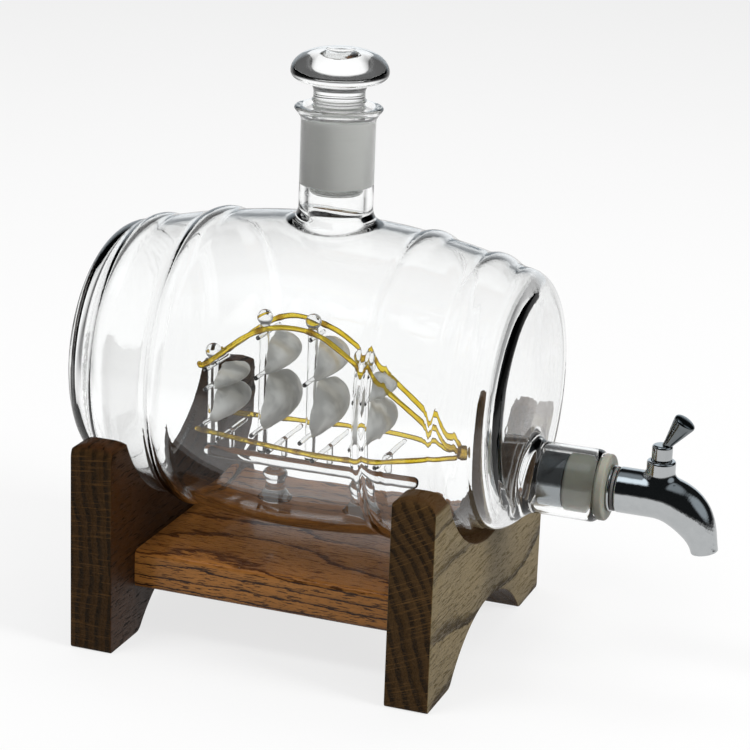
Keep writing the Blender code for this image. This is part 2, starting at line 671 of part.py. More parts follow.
def make_stopper(stopper):
    """Hollow ground plug and the mushroom cap on top of it. Heights are from the neck's rim."""
    top = -JOINT_DROP + SEAT_GAP
    bottom = top - JOINT_LENGTH
    top_radius = JOINT_TOP_RADIUS - SEAT_GAP
    bottom_radius = JOINT_BOTTOM_RADIUS - SEAT_GAP
    inside_bottom = bottom + PLUG_WALL
    outline = [
        (PLUG_SHOULDER_RADIUS, top + STEM_RIDGE),
        (top_radius - PLUG_WALL / 2, top + STEM_RIDGE),
        (top_radius, top - PLUG_WALL / 2),
        (bottom_radius, bottom + PLUG_BOTTOM_ROUND),
        (bottom_radius - PLUG_BOTTOM_ROUND, bottom),
        (0, bottom),
    ]
    inner = [
        (0, inside_bottom),
        (bottom_radius - PLUG_WALL - PLUG_BOTTOM_ROUND / 2, inside_bottom),
        (bottom_radius - PLUG_WALL, inside_bottom + PLUG_BOTTOM_ROUND),
        (top_radius - PLUG_WALL, top - PLUG_WALL - STEM_RIDGE),
        (PLUG_SHOULDER_RADIUS, top - PLUG_WALL / 2),
        (PLUG_SHOULDER_RADIUS, top + STEM_RIDGE),
    ]
    turned("stopper_plug", [(outline, False), (inner, False)], stopper, "frosted_glass")
    stem_low = top + STEM_RIDGE + SEAT_GAP
    stem_high = stem_low + STEM_HEIGHT
    widest = stem_high + CAP_HEIGHT * CAP_WIDEST_SHARE
    summit = stem_high + CAP_HEIGHT
    cap = [(0, summit), (CAP_BUTTON_RADIUS - CAP_BUTTON_RISE, summit), (CAP_BUTTON_RADIUS, summit - CAP_BUTTON_RISE)]
    for i in range(1, ARC_STEPS + 2):
        angle = math.pi / 2 * i / (ARC_STEPS + 1)
        radius = CAP_BUTTON_RADIUS + (CAP_RADIUS - CAP_BUTTON_RADIUS) * math.sin(angle)
        cap.append((radius, widest + (summit - CAP_BUTTON_RISE - widest) * math.cos(angle)))
    for i in range(1, ARC_STEPS + 1):
        angle = math.pi / 2 * i / ARC_STEPS
        radius = CAP_RADIUS - (CAP_RADIUS - CAP_UNDERSIDE_RADIUS) * (1 - math.cos(angle))
        cap.append((radius, widest - (widest - stem_high) * math.sin(angle)))
    cap.append((STEM_RADIUS, stem_high))
    for share in (0.45, 0.25):
        ridge = stem_low + STEM_HEIGHT * share
        cap.append((STEM_RADIUS, ridge + STEM_RIDGE))
        cap.append((STEM_RADIUS + STEM_RIDGE, ridge))
        cap.append((STEM_RADIUS, ridge - STEM_RIDGE))
    cap += [(STEM_RADIUS, stem_low), (0, stem_low)]
    turned("stopper_cap", [(cap, False)], stopper, "clear_glass")


# Glass ship


def hull_breadth(x):
    """Half breadth of the rails at a place along the ship."""
    share = (x - HULL_STERN_X) / HULL_LENGTH
    for (start, low), (end, high) in zip(BREADTH_SHARES, BREADTH_SHARES[1:]):
        if share <= end:
            t = (share - start) / (end - start)
            return HULL_HALF_BREADTH * (low + (high - low) * t)
    return HULL_HALF_BREADTH * BREADTH_SHARES[-1][1]


def hull_height(x):
    """Height of the rails, which rise a little towards the stern and more towards the bow."""
    share = (x - HULL_STERN_X) / HULL_LENGTH * 2 - 1
    sheer = HULL_BOW_SHEER if share > 0 else HULL_STERN_SHEER
    return -HULL_DROP + sheer * share ** 2


def yard_heights(mast):
    """Heights of a mast's three yards. The lowest lies across the rails."""
    on_rails = hull_height(MAST_XS[mast] + MAST_RADIUS) + AMBER_RADIUS + SEAT_GAP + YARD_RADIUS
    return TOP_YARD_HEIGHTS[mast] - KEEL_DROP, MIDDLE_YARD_HEIGHTS[mast] - KEEL_DROP, on_rails


def make_rails(barrel):
    """Two lower rails and two upper stays in amber glass, which meet at the bow's knob."""
    rail_end_x = HULL_BOW_X - KNOB_RADIUS
    knots = [HULL_STERN_X + (rail_end_x - HULL_STERN_X) * share for share, breadth in BREADTH_SHARES]
    stay_knots = [
        Vector((HULL_STERN_X, STAY_REACHES[0], stay_height(0) - STAY_STERN_FALL)),
    ]
    for mast, x in enumerate(MAST_XS):
        stay_knots.append(Vector((x + MAST_RADIUS, STAY_REACHES[mast], stay_height(mast))))
    bow_height = hull_height(rail_end_x) + STAY_BOW_RISE
    stay_knots.append(Vector((rail_end_x, hull_breadth(rail_end_x), bow_height)))
    for side, sign in (("left", 1), ("right", -1)):
        rail = [Vector((x, sign * hull_breadth(x), hull_height(x))) for x in knots]
        rod(f"ship_rail_{side}", smooth_path(rail, RAIL_POINTS), AMBER_RADIUS, barrel, "amber_glass")
        stay = [Vector((p.x, sign * p.y, p.z)) for p in stay_knots]
        rod(f"ship_stay_{side}", smooth_path(stay, RAIL_POINTS), AMBER_RADIUS, barrel, "amber_glass")
    knob_z = hull_height(rail_end_x) + STAY_BOW_RISE / 2
    knob = arc((0, 0), KNOB_RADIUS, math.pi / 2, -math.pi / 2, 2 * ARC_STEPS)
    knob[0] = (0, KNOB_RADIUS)
    knob[-1] = (0, -KNOB_RADIUS)
    place = (HULL_BOW_X - KNOB_SETBACK, 0, knob_z)
    turned("ship_bow_knob", [(knob, False)], barrel, "amber_glass", place, steps=THIN_STEPS)


def stay_height(mast):
    """A stay lies on top of each mast's upper yard."""
    return yard_heights(mast)[0] + YARD_RADIUS + STAY_CLEARANCE + AMBER_RADIUS


def make_keel(barrel):
    middle = (KEEL_REAR_X + KEEL_FRONT_X) / 2
    half = (KEEL_FRONT_X - KEEL_REAR_X) / 2
    outline = solid_round(KEEL_RADIUS, -half, half, KEEL_RADIUS / 2)
    place = (middle, 0, -KEEL_DROP)
    turned("ship_keel", [(outline, False)], barrel, "clear_glass", place, ALONG_X, THIN_STEPS)
    cavity = turned("ship_cavity", [(cavity_outline(SEAT_GAP), False)], barrel, turn=ALONG_X, steps=BARREL_STEPS)
    groove_radius = KEEL_RADIUS + SEAT_GAP
    groove = bar_between("keel_groove", groove_radius, -half, half, barrel, None, place, ALONG_X, THIN_STEPS)
    floor = GLASS_WALL - BELLY_RADIUS - CUT_OVERRUN
    saddle = -KEEL_DROP + KEEL_RADIUS / 2
    for end, x in FOOT_XS.items():
        foot = [
            (0, saddle),
            (FOOT_TOP_RADIUS, saddle),
            (FOOT_BEAD_RADIUS, saddle - KEEL_RADIUS),
            (FOOT_BEAD_RADIUS, saddle - 2 * KEEL_RADIUS),
            (FOOT_WAIST_RADIUS, saddle - 3 * KEEL_RADIUS),
            (FOOT_WAIST_RADIUS, floor + 4 * KEEL_RADIUS),
            (FOOT_BASE_RADIUS, floor + CUT_OVERRUN + KEEL_RADIUS / 2),
            (FOOT_BASE_RADIUS, floor),
            (0, floor),
        ]
        piece = turned(f"ship_foot_{end}", [(foot, False)], barrel, "clear_glass", (x, 0, 0), steps=THIN_STEPS)
        combine(piece, groove, "DIFFERENCE")
        combine(piece, cavity, "INTERSECT")


def halfway_reach(mast):
    """Half width of a mast's sails where the upper one meets the lower one."""
    return (SAIL_TOP_REACHES[mast] + SAIL_LOW_REACHES[mast]) / 2


def make_mast(mast, barrel):
    """A mast with a ball on top and three yards let into its front."""
    low = -KEEL_DROP + KEEL_RADIUS + SEAT_GAP
    ball = MAST_BALL_HEIGHTS[mast] - KEEL_DROP
    meet = math.asin(MAST_RADIUS / MAST_BALL_RADIUS)
    outline = arc((0, ball), MAST_BALL_RADIUS, math.pi / 2, meet - math.pi / 2, MAST_BALL_STEPS)
    outline[0] = (0, ball + MAST_BALL_RADIUS)
    outline += [(MAST_RADIUS, low), (0, low)]
    name = f"ship_mast_{mast + 1}"
    x = MAST_XS[mast]
    piece = turned(name, [(outline, False)], barrel, "clear_glass", (x, 0, 0), steps=THIN_STEPS)
    yard_x = x + MAST_RADIUS - YARD_RADIUS / 2
    reaches = (STAY_REACHES[mast], halfway_reach(mast), SAIL_LOW_REACHES[mast])
    for level, (height, reach) in enumerate(zip(yard_heights(mast), reaches)):
        tool = bar_between(
            f"{name}_yard_{level}", YARD_RADIUS, -reach - YARD_RADIUS, reach + YARD_RADIUS, barrel, None,
            (yard_x, 0, height), ALONG_Y, YARD_STEPS
        )
        combine(piece, tool, "UNION")


def make_sail(name, mast, high, low, top_reach, low_reach, barrel):
    """A frosted sail that hangs in front of two yards and bellies towards the bow."""
    work = bmesh.new()
    bmesh.ops.create_grid(work, x_segments=4, y_segments=4, size=1.0)
    yard_front = MAST_XS[mast] + MAST_RADIUS + YARD_RADIUS / 2
    back = yard_front + SEAT_GAP + SAIL_THICKNESS / 2
    middle = (high + low) / 2
    half = (high - low) / 2 - SAIL_YARD_LAP
    for vert in work.verts:
        u, v = vert.co.x, vert.co.y
        reach = low_reach + (top_reach - low_reach) * (v + 1) / 2
        belly = SAIL_BELLY * (1 - v ** 2) * (1 - SAIL_SIDE_FALL_SHARE * u ** 2)
        vert.co = (back + belly, u * reach, middle + v * half)
    bmesh.ops.recalc_face_normals(work, faces=work.faces)
    mesh = bpy.data.meshes.new(name)
    work.to_mesh(mesh)
    work.free()
    sail = make_object(name, mesh, barrel, "frosted_glass")
    thickness = sail.modifiers.new("thickness", "SOLIDIFY")
    thickness.thickness = SAIL_THICKNESS
    thickness.offset = 0
    smooth(sail)


def make_thwart(name, x, barrel):
    """A clear rod across the ship under the rails, on a post from the keel."""
    height = hull_height(x) - AMBER_RADIUS - SEAT_GAP - THWART_RADIUS
    reach = hull_breadth(x) + THWART_OVERHANG
    place = (x, 0, height)
    across = bar_between(name, THWART_RADIUS, -reach, reach, barrel, "clear_glass", place, ALONG_Y, YARD_STEPS)
    low = -KEEL_DROP + KEEL_RADIUS + SEAT_GAP
    post = bar_between(name + "_post", POST_RADIUS, low, height, barrel, None, (x, 0, 0), steps=YARD_STEPS)
    combine(across, post, "UNION")


def make_ship(barrel):
    make_keel(barrel)
    for mast in range(len(MAST_XS)):
        make_mast(mast, barrel)
        high, middle, low = yard_heights(mast)
        halfway = halfway_reach(mast)
        make_sail(f"ship_topsail_{mast + 1}", mast, high, middle, SAIL_TOP_REACHES[mast], halfway, barrel)
        make_sail(f"ship_mainsail_{mast + 1}", mast, middle, low, halfway, SAIL_LOW_REACHES[mast], barrel)
    for end, x in THWART_XS.items():
        make_thwart(f"ship_thwart_{end}", x, barrel)
    make_rails(barrel)


# Tap, in a frame on the spigot's axis at the spigot's mouth


def tap_stations():
    """Where each piece of the tap starts along the tap's axis."""
    flange = SEAT_GAP
    collar = flange + SEAL_FLANGE_THICKNESS + SEAT_GAP
    washer = collar + COLLAR_THICKNESS + SEAT_GAP
    body = washer + WASHER_THICKNESS + SEAT_GAP
    nut = -SEAL_IN_SPIGOT - SEAT_GAP - NUT_LENGTH
    return {"flange": flange, "collar": collar, "washer": washer, "body": body, "nut": nut}


def make_tap_fittings(tap):
    at = tap_stations()
    hole = SHANK_RADIUS + SEAT_GAP
    sleeve = SPIGOT_BORE - SEAT_GAP
    flange_end = at["flange"] + SEAL_FLANGE_THICKNESS
    seal = [
        (SEAL_FLANGE_RADIUS - SEAL_FLANGE_ROUND, flange_end),
        (SEAL_FLANGE_RADIUS, flange_end - SEAL_FLANGE_ROUND),
        (SEAL_FLANGE_RADIUS, at["flange"] + SEAL_FLANGE_ROUND),
        (SEAL_FLANGE_RADIUS - SEAL_FLANGE_ROUND, at["flange"]),
        (sleeve, at["flange"]),
        (sleeve, -SEAL_IN_SPIGOT + SEAL_FLANGE_ROUND),
        (sleeve - SEAL_FLANGE_ROUND, -SEAL_IN_SPIGOT),
        (hole, -SEAL_IN_SPIGOT),
        (hole, flange_end),
    ]
    turned("tap_seal", [(seal, True)], tap, "silicone", turn=ALONG_X)
    nut = ring(NUT_RADIUS, hole, at["nut"], at["nut"] + NUT_LENGTH, NUT_CHAMFER)
    turned("tap_back_nut", [(nut, True)], tap, "chrome", turn=ALONG_X)
    shank_low = at["nut"] - SHANK_PAST_NUT
    shank_high = at["body"] + SHANK_IN_BODY - SEAT_GAP
    shank = ring(SHANK_RADIUS, WATERWAY_RADIUS, shank_low, shank_high)
    turned("tap_shank", [(shank, True)], tap, "chrome", turn=ALONG_X, steps=SMALL_STEPS)
    collar = ring(COLLAR_RADIUS, hole, at["collar"], at["collar"] + COLLAR_THICKNESS, COLLAR_THICKNESS / 4)
    turned("tap_collar", [(collar, True)], tap, "chrome", turn=ALONG_X, steps=SMALL_STEPS)
    washer = ring(WASHER_RADIUS, hole, at["washer"], at["washer"] + WASHER_THICKNESS, WASHER_THICKNESS / 4)
    turned("tap_washer", [(washer, True)], tap, "silicone", turn=ALONG_X, steps=SMALL_STEPS)


def spout_path(body_x):
    """The spout's middle line and how far each point is round the bend, from 0 to 1."""
    start = Vector((body_x + TAP_STRAIGHT, 0, 0))
    reach = Vector((SPOUT_REACH, 0, 0))
    drop = Vector((0, 0, -SPOUT_DROP))
    first, second = [start + reach * along + drop * down for along, down in SPOUT_HANDLE_SHARES]
    end = start + reach + drop
    path = []
    for i in range(SPOUT_STEPS + 1):
        t = i / SPOUT_STEPS
        point = (
            start * (1 - t) ** 3 + first * (3 * t * (1 - t) ** 2)
            + second * (3 * t ** 2 * (1 - t)) + end * t ** 3
        )
        path.append((point, t))
    return path


def spout_taper(t, root, tip):
    """Radius round the bend: even at first, then drawn in to the tip."""
    turned_share = max(0.0, (t - SPOUT_TAPER_START_SHARE) / (1 - SPOUT_TAPER_START_SHARE))
    return tip + (root - tip) * math.cos(math.pi / 2 * turned_share ** SPOUT_TAPER_POWER) ** 2


def make_tap_body(tap):
    """Body and spout in one, with a boss for the valve, bored from the rear to the tip."""
    body_x = tap_stations()["body"]
    path = spout_path(body_x)
    step_x = body_x + BODY_REAR_STEP_LENGTH
    points = [Vector((body_x, 0, 0)), Vector((step_x, 0, 0)), Vector((step_x + BODY_REAR_STEP, 0, 0))]
    radii = [TAP_BODY_RADIUS - BODY_REAR_STEP, TAP_BODY_RADIUS - BODY_REAR_STEP, TAP_BODY_RADIUS]
    points += [point for point, t in path]
    radii += [spout_taper(t, TAP_BODY_RADIUS, SPOUT_TIP_RADIUS) for point, t in path]
    shares = [radius / TAP_BODY_RADIUS for radius in radii]
    body = as_mesh(rod("tap_body", points, TAP_BODY_RADIUS, tap, None, shares, sides=6), "chrome")
    past_tip = path[-1][0] + (path[-1][0] - path[-2][0])
    bore_points = [Vector((body_x - CUT_OVERRUN, 0, 0))] + [point for point, t in path] + [past_tip]
    bore_radii = [WATERWAY_RADIUS] + [spout_taper(t, WATERWAY_RADIUS, SPOUT_TIP_BORE) for point, t in path]
    bore_shares = [radius / WATERWAY_RADIUS for radius in bore_radii]
    bore_shares.append(bore_shares[-1])
    bore = as_mesh(rod("spout_bore", bore_points, WATERWAY_RADIUS, tap, None, bore_shares, sides=4))
    axis = (body_x + VALVE_X, 0, 0)
    boss = turned("boss", [(solid_round(BOSS_RADIUS, 0, BOSS_RISE, BOSS_EDGE), False)], tap, None, axis)
    chamber = bar_between("chamber", CHAMBER_RADIUS, -CHAMBER_DROP, BOSS_RISE + CUT_OVERRUN, tap, None, axis)
    socket = bar_between(
        "shank_socket", SHANK_RADIUS + SEAT_GAP, body_x - CUT_OVERRUN, body_x + SHANK_IN_BODY, tap, None,
        turn=ALONG_X
    )
    combine(body, boss, "UNION")
    combine(body, bore, "DIFFERENCE")
    combine(body, chamber, "DIFFERENCE")
    combine(body, socket, "DIFFERENCE")


def make_gland(tap):
    """The ring that closes the valve chamber round the stem."""
    axis = (tap_stations()["body"] + VALVE_X, 0, 0)
    gland = ring(CHAMBER_RADIUS - SEAT_GAP, VALVE_STEM_RADIUS + SEAT_GAP, BOSS_RISE - GLAND_THICKNESS, BOSS_RISE)
    turned("gland_ring", [(gland, True)], tap, "chrome", axis, steps=SMALL_STEPS)


def make_valve(valve):
    """Turning plug, its seal, the stem's cap and the lever, in a frame on the valve's axis."""
    cap_low = BOSS_RISE + SEAT_GAP
    cap_high = cap_low + STEM_CAP_HEIGHT
    stem_top = cap_high - STEM_CAP_ROOF - SEAT_GAP
    plug_low = SEAT_GAP - CHAMBER_DROP
    plug = [
        (0, stem_top), (VALVE_STEM_RADIUS, stem_top), (VALVE_STEM_RADIUS, PLUG_RISE),
        (PLUG_RADIUS, PLUG_RISE), (PLUG_RADIUS - PLUG_TAPER, plug_low), (0, plug_low),
    ]
    plug_piece = turned("valve_plug", [(plug, False)], valve, "brass", steps=SMALL_STEPS)
    reach = PLUG_RADIUS + CUT_OVERRUN
    port = bar_between("valve_port", WATERWAY_RADIUS, -reach, reach, valve, turn=ALONG_Y)
    combine(plug_piece, port, "DIFFERENCE")
    ring_middle = (CHAMBER_RADIUS + VALVE_STEM_RADIUS) / 2
    seal_z = PLUG_RISE + SEAT_GAP + O_RING_RADIUS
    seal = arc((ring_middle, seal_z), O_RING_RADIUS, math.pi, -math.pi, YARD_STEPS)[:-1]
    turned("valve_o_ring", [(seal, True)], valve, "rubber", steps=SMALL_STEPS)
    socket = VALVE_STEM_RADIUS + SEAT_GAP
    roof = cap_high - STEM_CAP_ROOF
    cap = [
        (0, cap_high), (STEM_CAP_RADIUS - STEM_CAP_EDGE, cap_high), (STEM_CAP_RADIUS, cap_high - STEM_CAP_EDGE),
        (STEM_CAP_RADIUS, cap_low), (socket, cap_low), (socket, roof), (0, roof),
    ]
    cap_piece = turned("stem_cap", [(cap, False)], valve, "chrome", steps=SMALL_STEPS)
    lever_turn = (0, math.pi / 2 - LEVER_PITCH, 0)
    lever_place = (LEVER_OUT, 0, cap_high)
    hole = bar_between(
        "lever_hole", LEVER_ROOT_RADIUS + SEAT_GAP, -LEVER_ROOT_DEPTH, LEVER_LENGTH, valve, None, lever_place,
        lever_turn
    )
    combine(cap_piece, hole, "DIFFERENCE")
    neck = LEVER_ROOT_RADIUS
    edge = (LEVER_END_RADIUS - LEVER_END_ROUND, LEVER_LENGTH - LEVER_END_ROUND)
    lever = [(0, LEVER_LENGTH)] + arc(edge, LEVER_END_ROUND, math.pi / 2, 0, ARC_STEPS)
    lever += [(neck, LEVER_ROOT_DEPTH * 2), (neck, SEAT_GAP - LEVER_ROOT_DEPTH), (0, SEAT_GAP - LEVER_ROOT_DEPTH)]
    turned("tap_lever", [(lever, False)], valve, "chrome", lever_place, lever_turn, SMALL_STEPS)


def centre_on_origin(frame):
    """Move the whole decanter so that the middle of its length and width is on the Z axis."""
    bpy.context.view_layer.update()
    graph = bpy.context.evaluated_depsgraph_get()
    xs = []
    for obj in COLLECTIONS["parts"].objects:
        if obj.type == "EMPTY":
            continue
        world = obj.matrix_world
        mesh = obj.evaluated_get(graph).to_mesh()
        xs += [(world @ vert.co).x for vert in mesh.vertices]
    frame.location.x -= (min(xs) + max(xs)) / 2
    bpy.context.view_layer.update()


def main():
    clear_scene()
    make_collections()
    decanter = make_frame("decanter")
    stand = make_frame("stand_frame", decanter)
    barrel = make_frame("barrel_frame", decanter, (0, 0, BARREL_AXIS_Z))
    stopper = make_frame("stopper_frame", barrel, (NECK_X, 0, RIM_RISE))
    tap = make_frame("tap_frame", barrel, (TUBE_END_X, 0, -SPIGOT_DROP))
    valve = make_frame("valve_frame", tap, (tap_stations()["body"] + VALVE_X, 0, 0))
    make_stand(stand)
    make_barrel(barrel)
    make_neck(barrel)
    make_spigot(barrel)
    make_stopper(stopper)
    make_ship(barrel)
    make_tap_fittings(tap)
    make_tap_body(tap)
    make_gland(tap)
    make_valve(valve)
    centre_on_origin(decanter)


main()
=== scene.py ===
"""Barrel decanter with tap: the dressed model, its light and its camera.

Lengths are in millimetres in the decanter's own frame, whose X = 0 is the barrel's middle,
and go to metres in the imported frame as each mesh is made.
"""

import math

import bmesh
import bpy
import numpy as np
from mathutils import Matrix, Vector, kdtree


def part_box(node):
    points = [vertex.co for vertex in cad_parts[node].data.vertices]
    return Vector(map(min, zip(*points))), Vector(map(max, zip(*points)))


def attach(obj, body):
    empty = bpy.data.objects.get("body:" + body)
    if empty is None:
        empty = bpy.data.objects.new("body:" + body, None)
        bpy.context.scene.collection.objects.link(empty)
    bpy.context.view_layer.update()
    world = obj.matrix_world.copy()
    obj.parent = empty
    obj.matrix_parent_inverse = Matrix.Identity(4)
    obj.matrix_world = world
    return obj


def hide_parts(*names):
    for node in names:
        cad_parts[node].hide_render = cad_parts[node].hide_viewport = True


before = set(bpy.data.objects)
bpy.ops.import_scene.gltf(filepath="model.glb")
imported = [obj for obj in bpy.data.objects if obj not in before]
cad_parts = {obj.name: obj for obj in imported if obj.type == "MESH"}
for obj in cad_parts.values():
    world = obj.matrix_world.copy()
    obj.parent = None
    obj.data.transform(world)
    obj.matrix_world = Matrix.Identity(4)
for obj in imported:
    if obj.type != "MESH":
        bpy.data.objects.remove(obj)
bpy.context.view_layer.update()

low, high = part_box("glass_barrel")
MIDDLE_X = (low.x + high.x) / 2 * 1000
AXIS_Z = 102.1
NECK_X = 4.4
RIM_Z = 206.1
SPIGOT_Z = 73.0


# Meshes


def new_object(name, data):
    made = bpy.data.objects.new(name, data)
    bpy.context.scene.collection.objects.link(made)
    return made


def finish_piece(name, shape, body, finish, *nodes, normals=None, sharp=32):
    """A piece that rides on its body and stands for its CAD nodes.

    Shape is its points in millimetres and its faces, finish its material and slot; the slot is not used.
    """
    verts, faces = shape
    material, slot = finish
    points = np.array(verts, float).reshape(-1, 3) + (MIDDLE_X, 0, 0)
    mesh = bpy.data.meshes.new(name)
    mesh.from_pydata((points / 1000).tolist(), [], [tuple(int(i) for i in f) for f in faces])
    mesh.validate()
    piece = new_object(name, mesh)
    mesh.materials.append(material)
    if normals is None:
        work = bmesh.new()
        work.from_mesh(mesh)
        bmesh.ops.remove_doubles(work, verts=work.verts, dist=1e-7)
        bmesh.ops.recalc_face_normals(work, faces=work.faces)
        work.to_mesh(mesh)
        work.free()
        mesh.shade_smooth()
        mesh.set_sharp_from_angle(angle=math.radians(sharp))
    else:
        mesh.shade_smooth()
        mesh.normals_split_custom_set_from_vertices([tuple(n) for n in normals])
    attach(piece, body)
    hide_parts(*nodes)


def join(*parts):
    """One list of points and faces from several."""
    verts, faces = [], []
    for points, polygons in parts:
        start = len(verts)
        verts += [tuple(p) for p in points]
        faces += [tuple(i + start for i in f) for f in polygons]
    return verts, faces


def eased(outline, reach, steps=4, closed=False):
    """Round the corners of an outline by arcs that start reach away from each corner."""
    points = [np.array(p, float) for p in outline]
    reaches = reach if isinstance(reach, (list, tuple)) else [reach] * len(points)
    result = []
    for i, point in enumerate(points):
        ends = i in (0, len(points) - 1) and not closed
        if ends or reaches[i] <= 0:
            result.append(tuple(point))
            continue
        before, after = points[i - 1], points[(i + 1) % len(points)]
        back, on = before - point, after - point
        size = min(reaches[i], np.linalg.norm(back) * 0.49, np.linalg.norm(on) * 0.49)
        start = point + back / np.linalg.norm(back) * size
        end = point + on / np.linalg.norm(on) * size
        for k in range(steps + 1):
            t = k / steps
            result.append(tuple(start * (1 - t) ** 2 + point * (2 * t * (1 - t)) + end * t ** 2))
    return result


def bridge(rows, closed=False, capped=False):
    """Faces between rows of point numbers. Each row is a loop or a single point."""
    faces = []
    for a, b in zip(rows, rows[1:] + (rows[:1] if closed else [])):
        count = max(len(a), len(b))
        for i in range(count if count > 1 else 0):
            j = (i + 1) % count
            if len(a) == 1:
                faces.append((a[0], b[j], b[i]))
            elif len(b) == 1:
                faces.append((a[i], a[j], b[0]))
            else:
                faces.append((a[i], a[j], b[j], b[i]))
    if capped:
        faces += [tuple(reversed(rows[0])), tuple(rows[-1])]
    return faces


def lathe(outline, steps=96, closed=False, place=(0, 0, 0), along="z"):
    """Turn an outline of (radius, height) points about an axis through place."""
    rows, verts = [], []
    for radius, height in outline:
        count = 1 if radius < 1e-6 else steps
        rows.append(list(range(len(verts), len(verts) + count)))
        for i in range(count):
            angle = 2 * math.pi * i / steps
            verts.append((radius * math.cos(angle), radius * math.sin(angle), height))
    if along == "x":
        verts = [(z, y, -x) for x, y, z in verts]
    elif along != "z":
        turn = Vector((0, 0, 1)).rotation_difference(Vector(along)).to_matrix()
        verts = [tuple(turn @ Vector(v)) for v in verts]
    return [tuple(np.add(v, place)) for v in verts], bridge(rows, closed)


def smooth_path(points, count):
    """A smooth curve through points, with count points."""
    points = [np.array(p, float) for p in points]
    spans = len(points) - 1
    result = []
    for i in range(count):
        position = spans * i / (count - 1)
        k = min(int(position), spans - 1)
        t = position - k
        a, b, c, d = points[max(k - 1, 0)], points[k], points[k + 1], points[min(k + 2, spans)]
        result.append(0.5 * (2 * b + (c - a) * t + (2 * a - 5 * b + 4 * c - d) * t ** 2
                             + (3 * b - a - 3 * c + d) * t ** 3))
    return result


# How far out and how wide a rod's rounded end is at each row, as shares of its radius.
ROUND_END = [(math.sin(a), math.cos(a)) for a in (0.0, 0.4, 0.8, 1.2)]


def tube(path, radii, sides=20):
    """A round rod along a path with rounded ends."""
    path = [Vector(p) for p in path]
    if not hasattr(radii, "__len__"):
        radii = [radii] * len(path)
    verts, rows, tangents = [], [], []
    for i in range(len(path)):
        tangents.append((path[min(i + 1, len(path) - 1)] - path[max(i - 1, 0)]).normalized())
    side = tangents[0].orthogonal().normalized()
    for i, (point, tangent) in enumerate(zip(path, tangents)):
        side = (side - tangent * side.dot(tangent)).normalized()
        other = tangent.cross(side)
        shifts = [(0.0, 1.0)]
        if i == 0:
            shifts = [(-out, share) for out, share in reversed(ROUND_END)]
        elif i == len(path) - 1:
            shifts = ROUND_END
        for out, share in shifts:
            rows.append(range(len(verts), len(verts) + sides))
            for k in range(sides):
                angle = 2 * math.pi * k / sides
                round_it = side * math.cos(angle) + other * math.sin(angle)
                verts.append(tuple(point + round_it * radii[i] * share + tangent * radii[i] * out))
    return verts, bridge(rows, capped=True)


# Surfaces from distance fields, for pieces that flow into each other


ORDER = {"x": [0, 1, 2], "z": [2, 0, 1]}  # the axis itself, then the two across it


def unit(rows):
    """Each row at length one."""
    return rows / np.maximum(np.linalg.norm(rows, axis=1), 1e-9)[:, None]


def corner_normals(points, hand):
    """Normals at the points of an outline, on the right of its way for hand 1, else on the left."""
    edge = np.diff(points, axis=0)
    side = unit(np.stack([edge[:, 1], -edge[:, 0]], 1)) * hand
    total = np.zeros_like(points)
    total[:-1] += side
    total[1:] += side
    return total


def spread(ways, axis):
    """Directions given along and across an axis, as X, Y and Z."""
    result = np.empty((len(ways[0]), 3))
    result[:, ORDER[axis]] = np.stack(ways, 1)
    return result


class Outline:
    """Signed distance to a body of revolution, from its dense outline of (radius, height).

    The outline goes from its top on the axis, out and down to its foot on the axis.
    """

    def __init__(self, points):
        self.points = np.array(points, float)
        normals = corner_normals(self.points, -1)
        normals[0], normals[-1] = (0, 1), (0, -1)
        self.normals = unit(normals)
        self.tree = kdtree.KDTree(len(points))
        for i, (r, h) in enumerate(points):
            self.tree.insert((r, h, 0), i)
        self.tree.balance()

    def near(self, r, h):
        """Distance and outward direction at many points."""
        index = np.array([self.tree.find((a, b, 0))[1] for a, b in zip(r.tolist(), h.tolist())])
        place = np.stack([r, h], 1)
        best = np.full(len(r), 1e9)
        side = np.zeros_like(place)
        for step in (-1, 0):
            i = np.clip(index + step, 0, len(self.points) - 2)
            a, b = self.points[i], self.points[i + 1]
            edge = b - a
            t = np.clip(((place - a) * edge).sum(1) / (edge ** 2).sum(1), 0, 1)[:, None]
            gap = place - (a + edge * t)
            normal = unit(self.normals[i] * (1 - t) + self.normals[i + 1] * t)
            distance = np.sign((gap * normal).sum(1)) * np.linalg.norm(gap, axis=1)
            closer = np.abs(distance) < np.abs(best)
            best[closer] = distance[closer]
            side[closer] = normal[closer]
        return best, side


def soft_union(a, b, k):
    """Join two fields, each a distance and its direction, with a fillet of size k."""
    share = np.clip(k - np.abs(a[0] - b[0]), 0, None) / k
    first = a[0] < b[0]
    value = np.minimum(a[0], b[0]) - share ** 2 * k / 4
    weight = np.where(first, 1 - share / 2, share / 2)[:, None]
    return value, a[1] * weight + b[1] * (1 - weight)


def without(a, b, k):
    """The first field with the second cut out of it."""
    value, slope = soft_union((-a[0], -a[1]), b, k)
    return -value, -slope


def turned_field(outline, points, origin, axis):
    """Field of a turned body about an axis along X or Z."""
    h, u, v = (points - origin)[:, ORDER[axis]].T
    r = np.sqrt(u ** 2 + v ** 2) + 1e-9
    value, slope = outline.near(r, h)
    across = slope[:, 0] / r
    return value, spread((slope[:, 1], across * u, across * v), axis)


def pipe_field(points, origin, axis, radius, start):
    """Field of a long round bar along X or Z from start upwards."""
    h, u, v = (points - origin)[:, ORDER[axis]].T
    r = np.sqrt(u ** 2 + v ** 2) + 1e-9
    value, end, zero = r - radius, start - h, np.zeros_like(r)
    ways = np.where(end > value, [zero - 1, zero, zero], [zero, u / r, v / r])
    return np.maximum(value, end), spread(ways, axis)


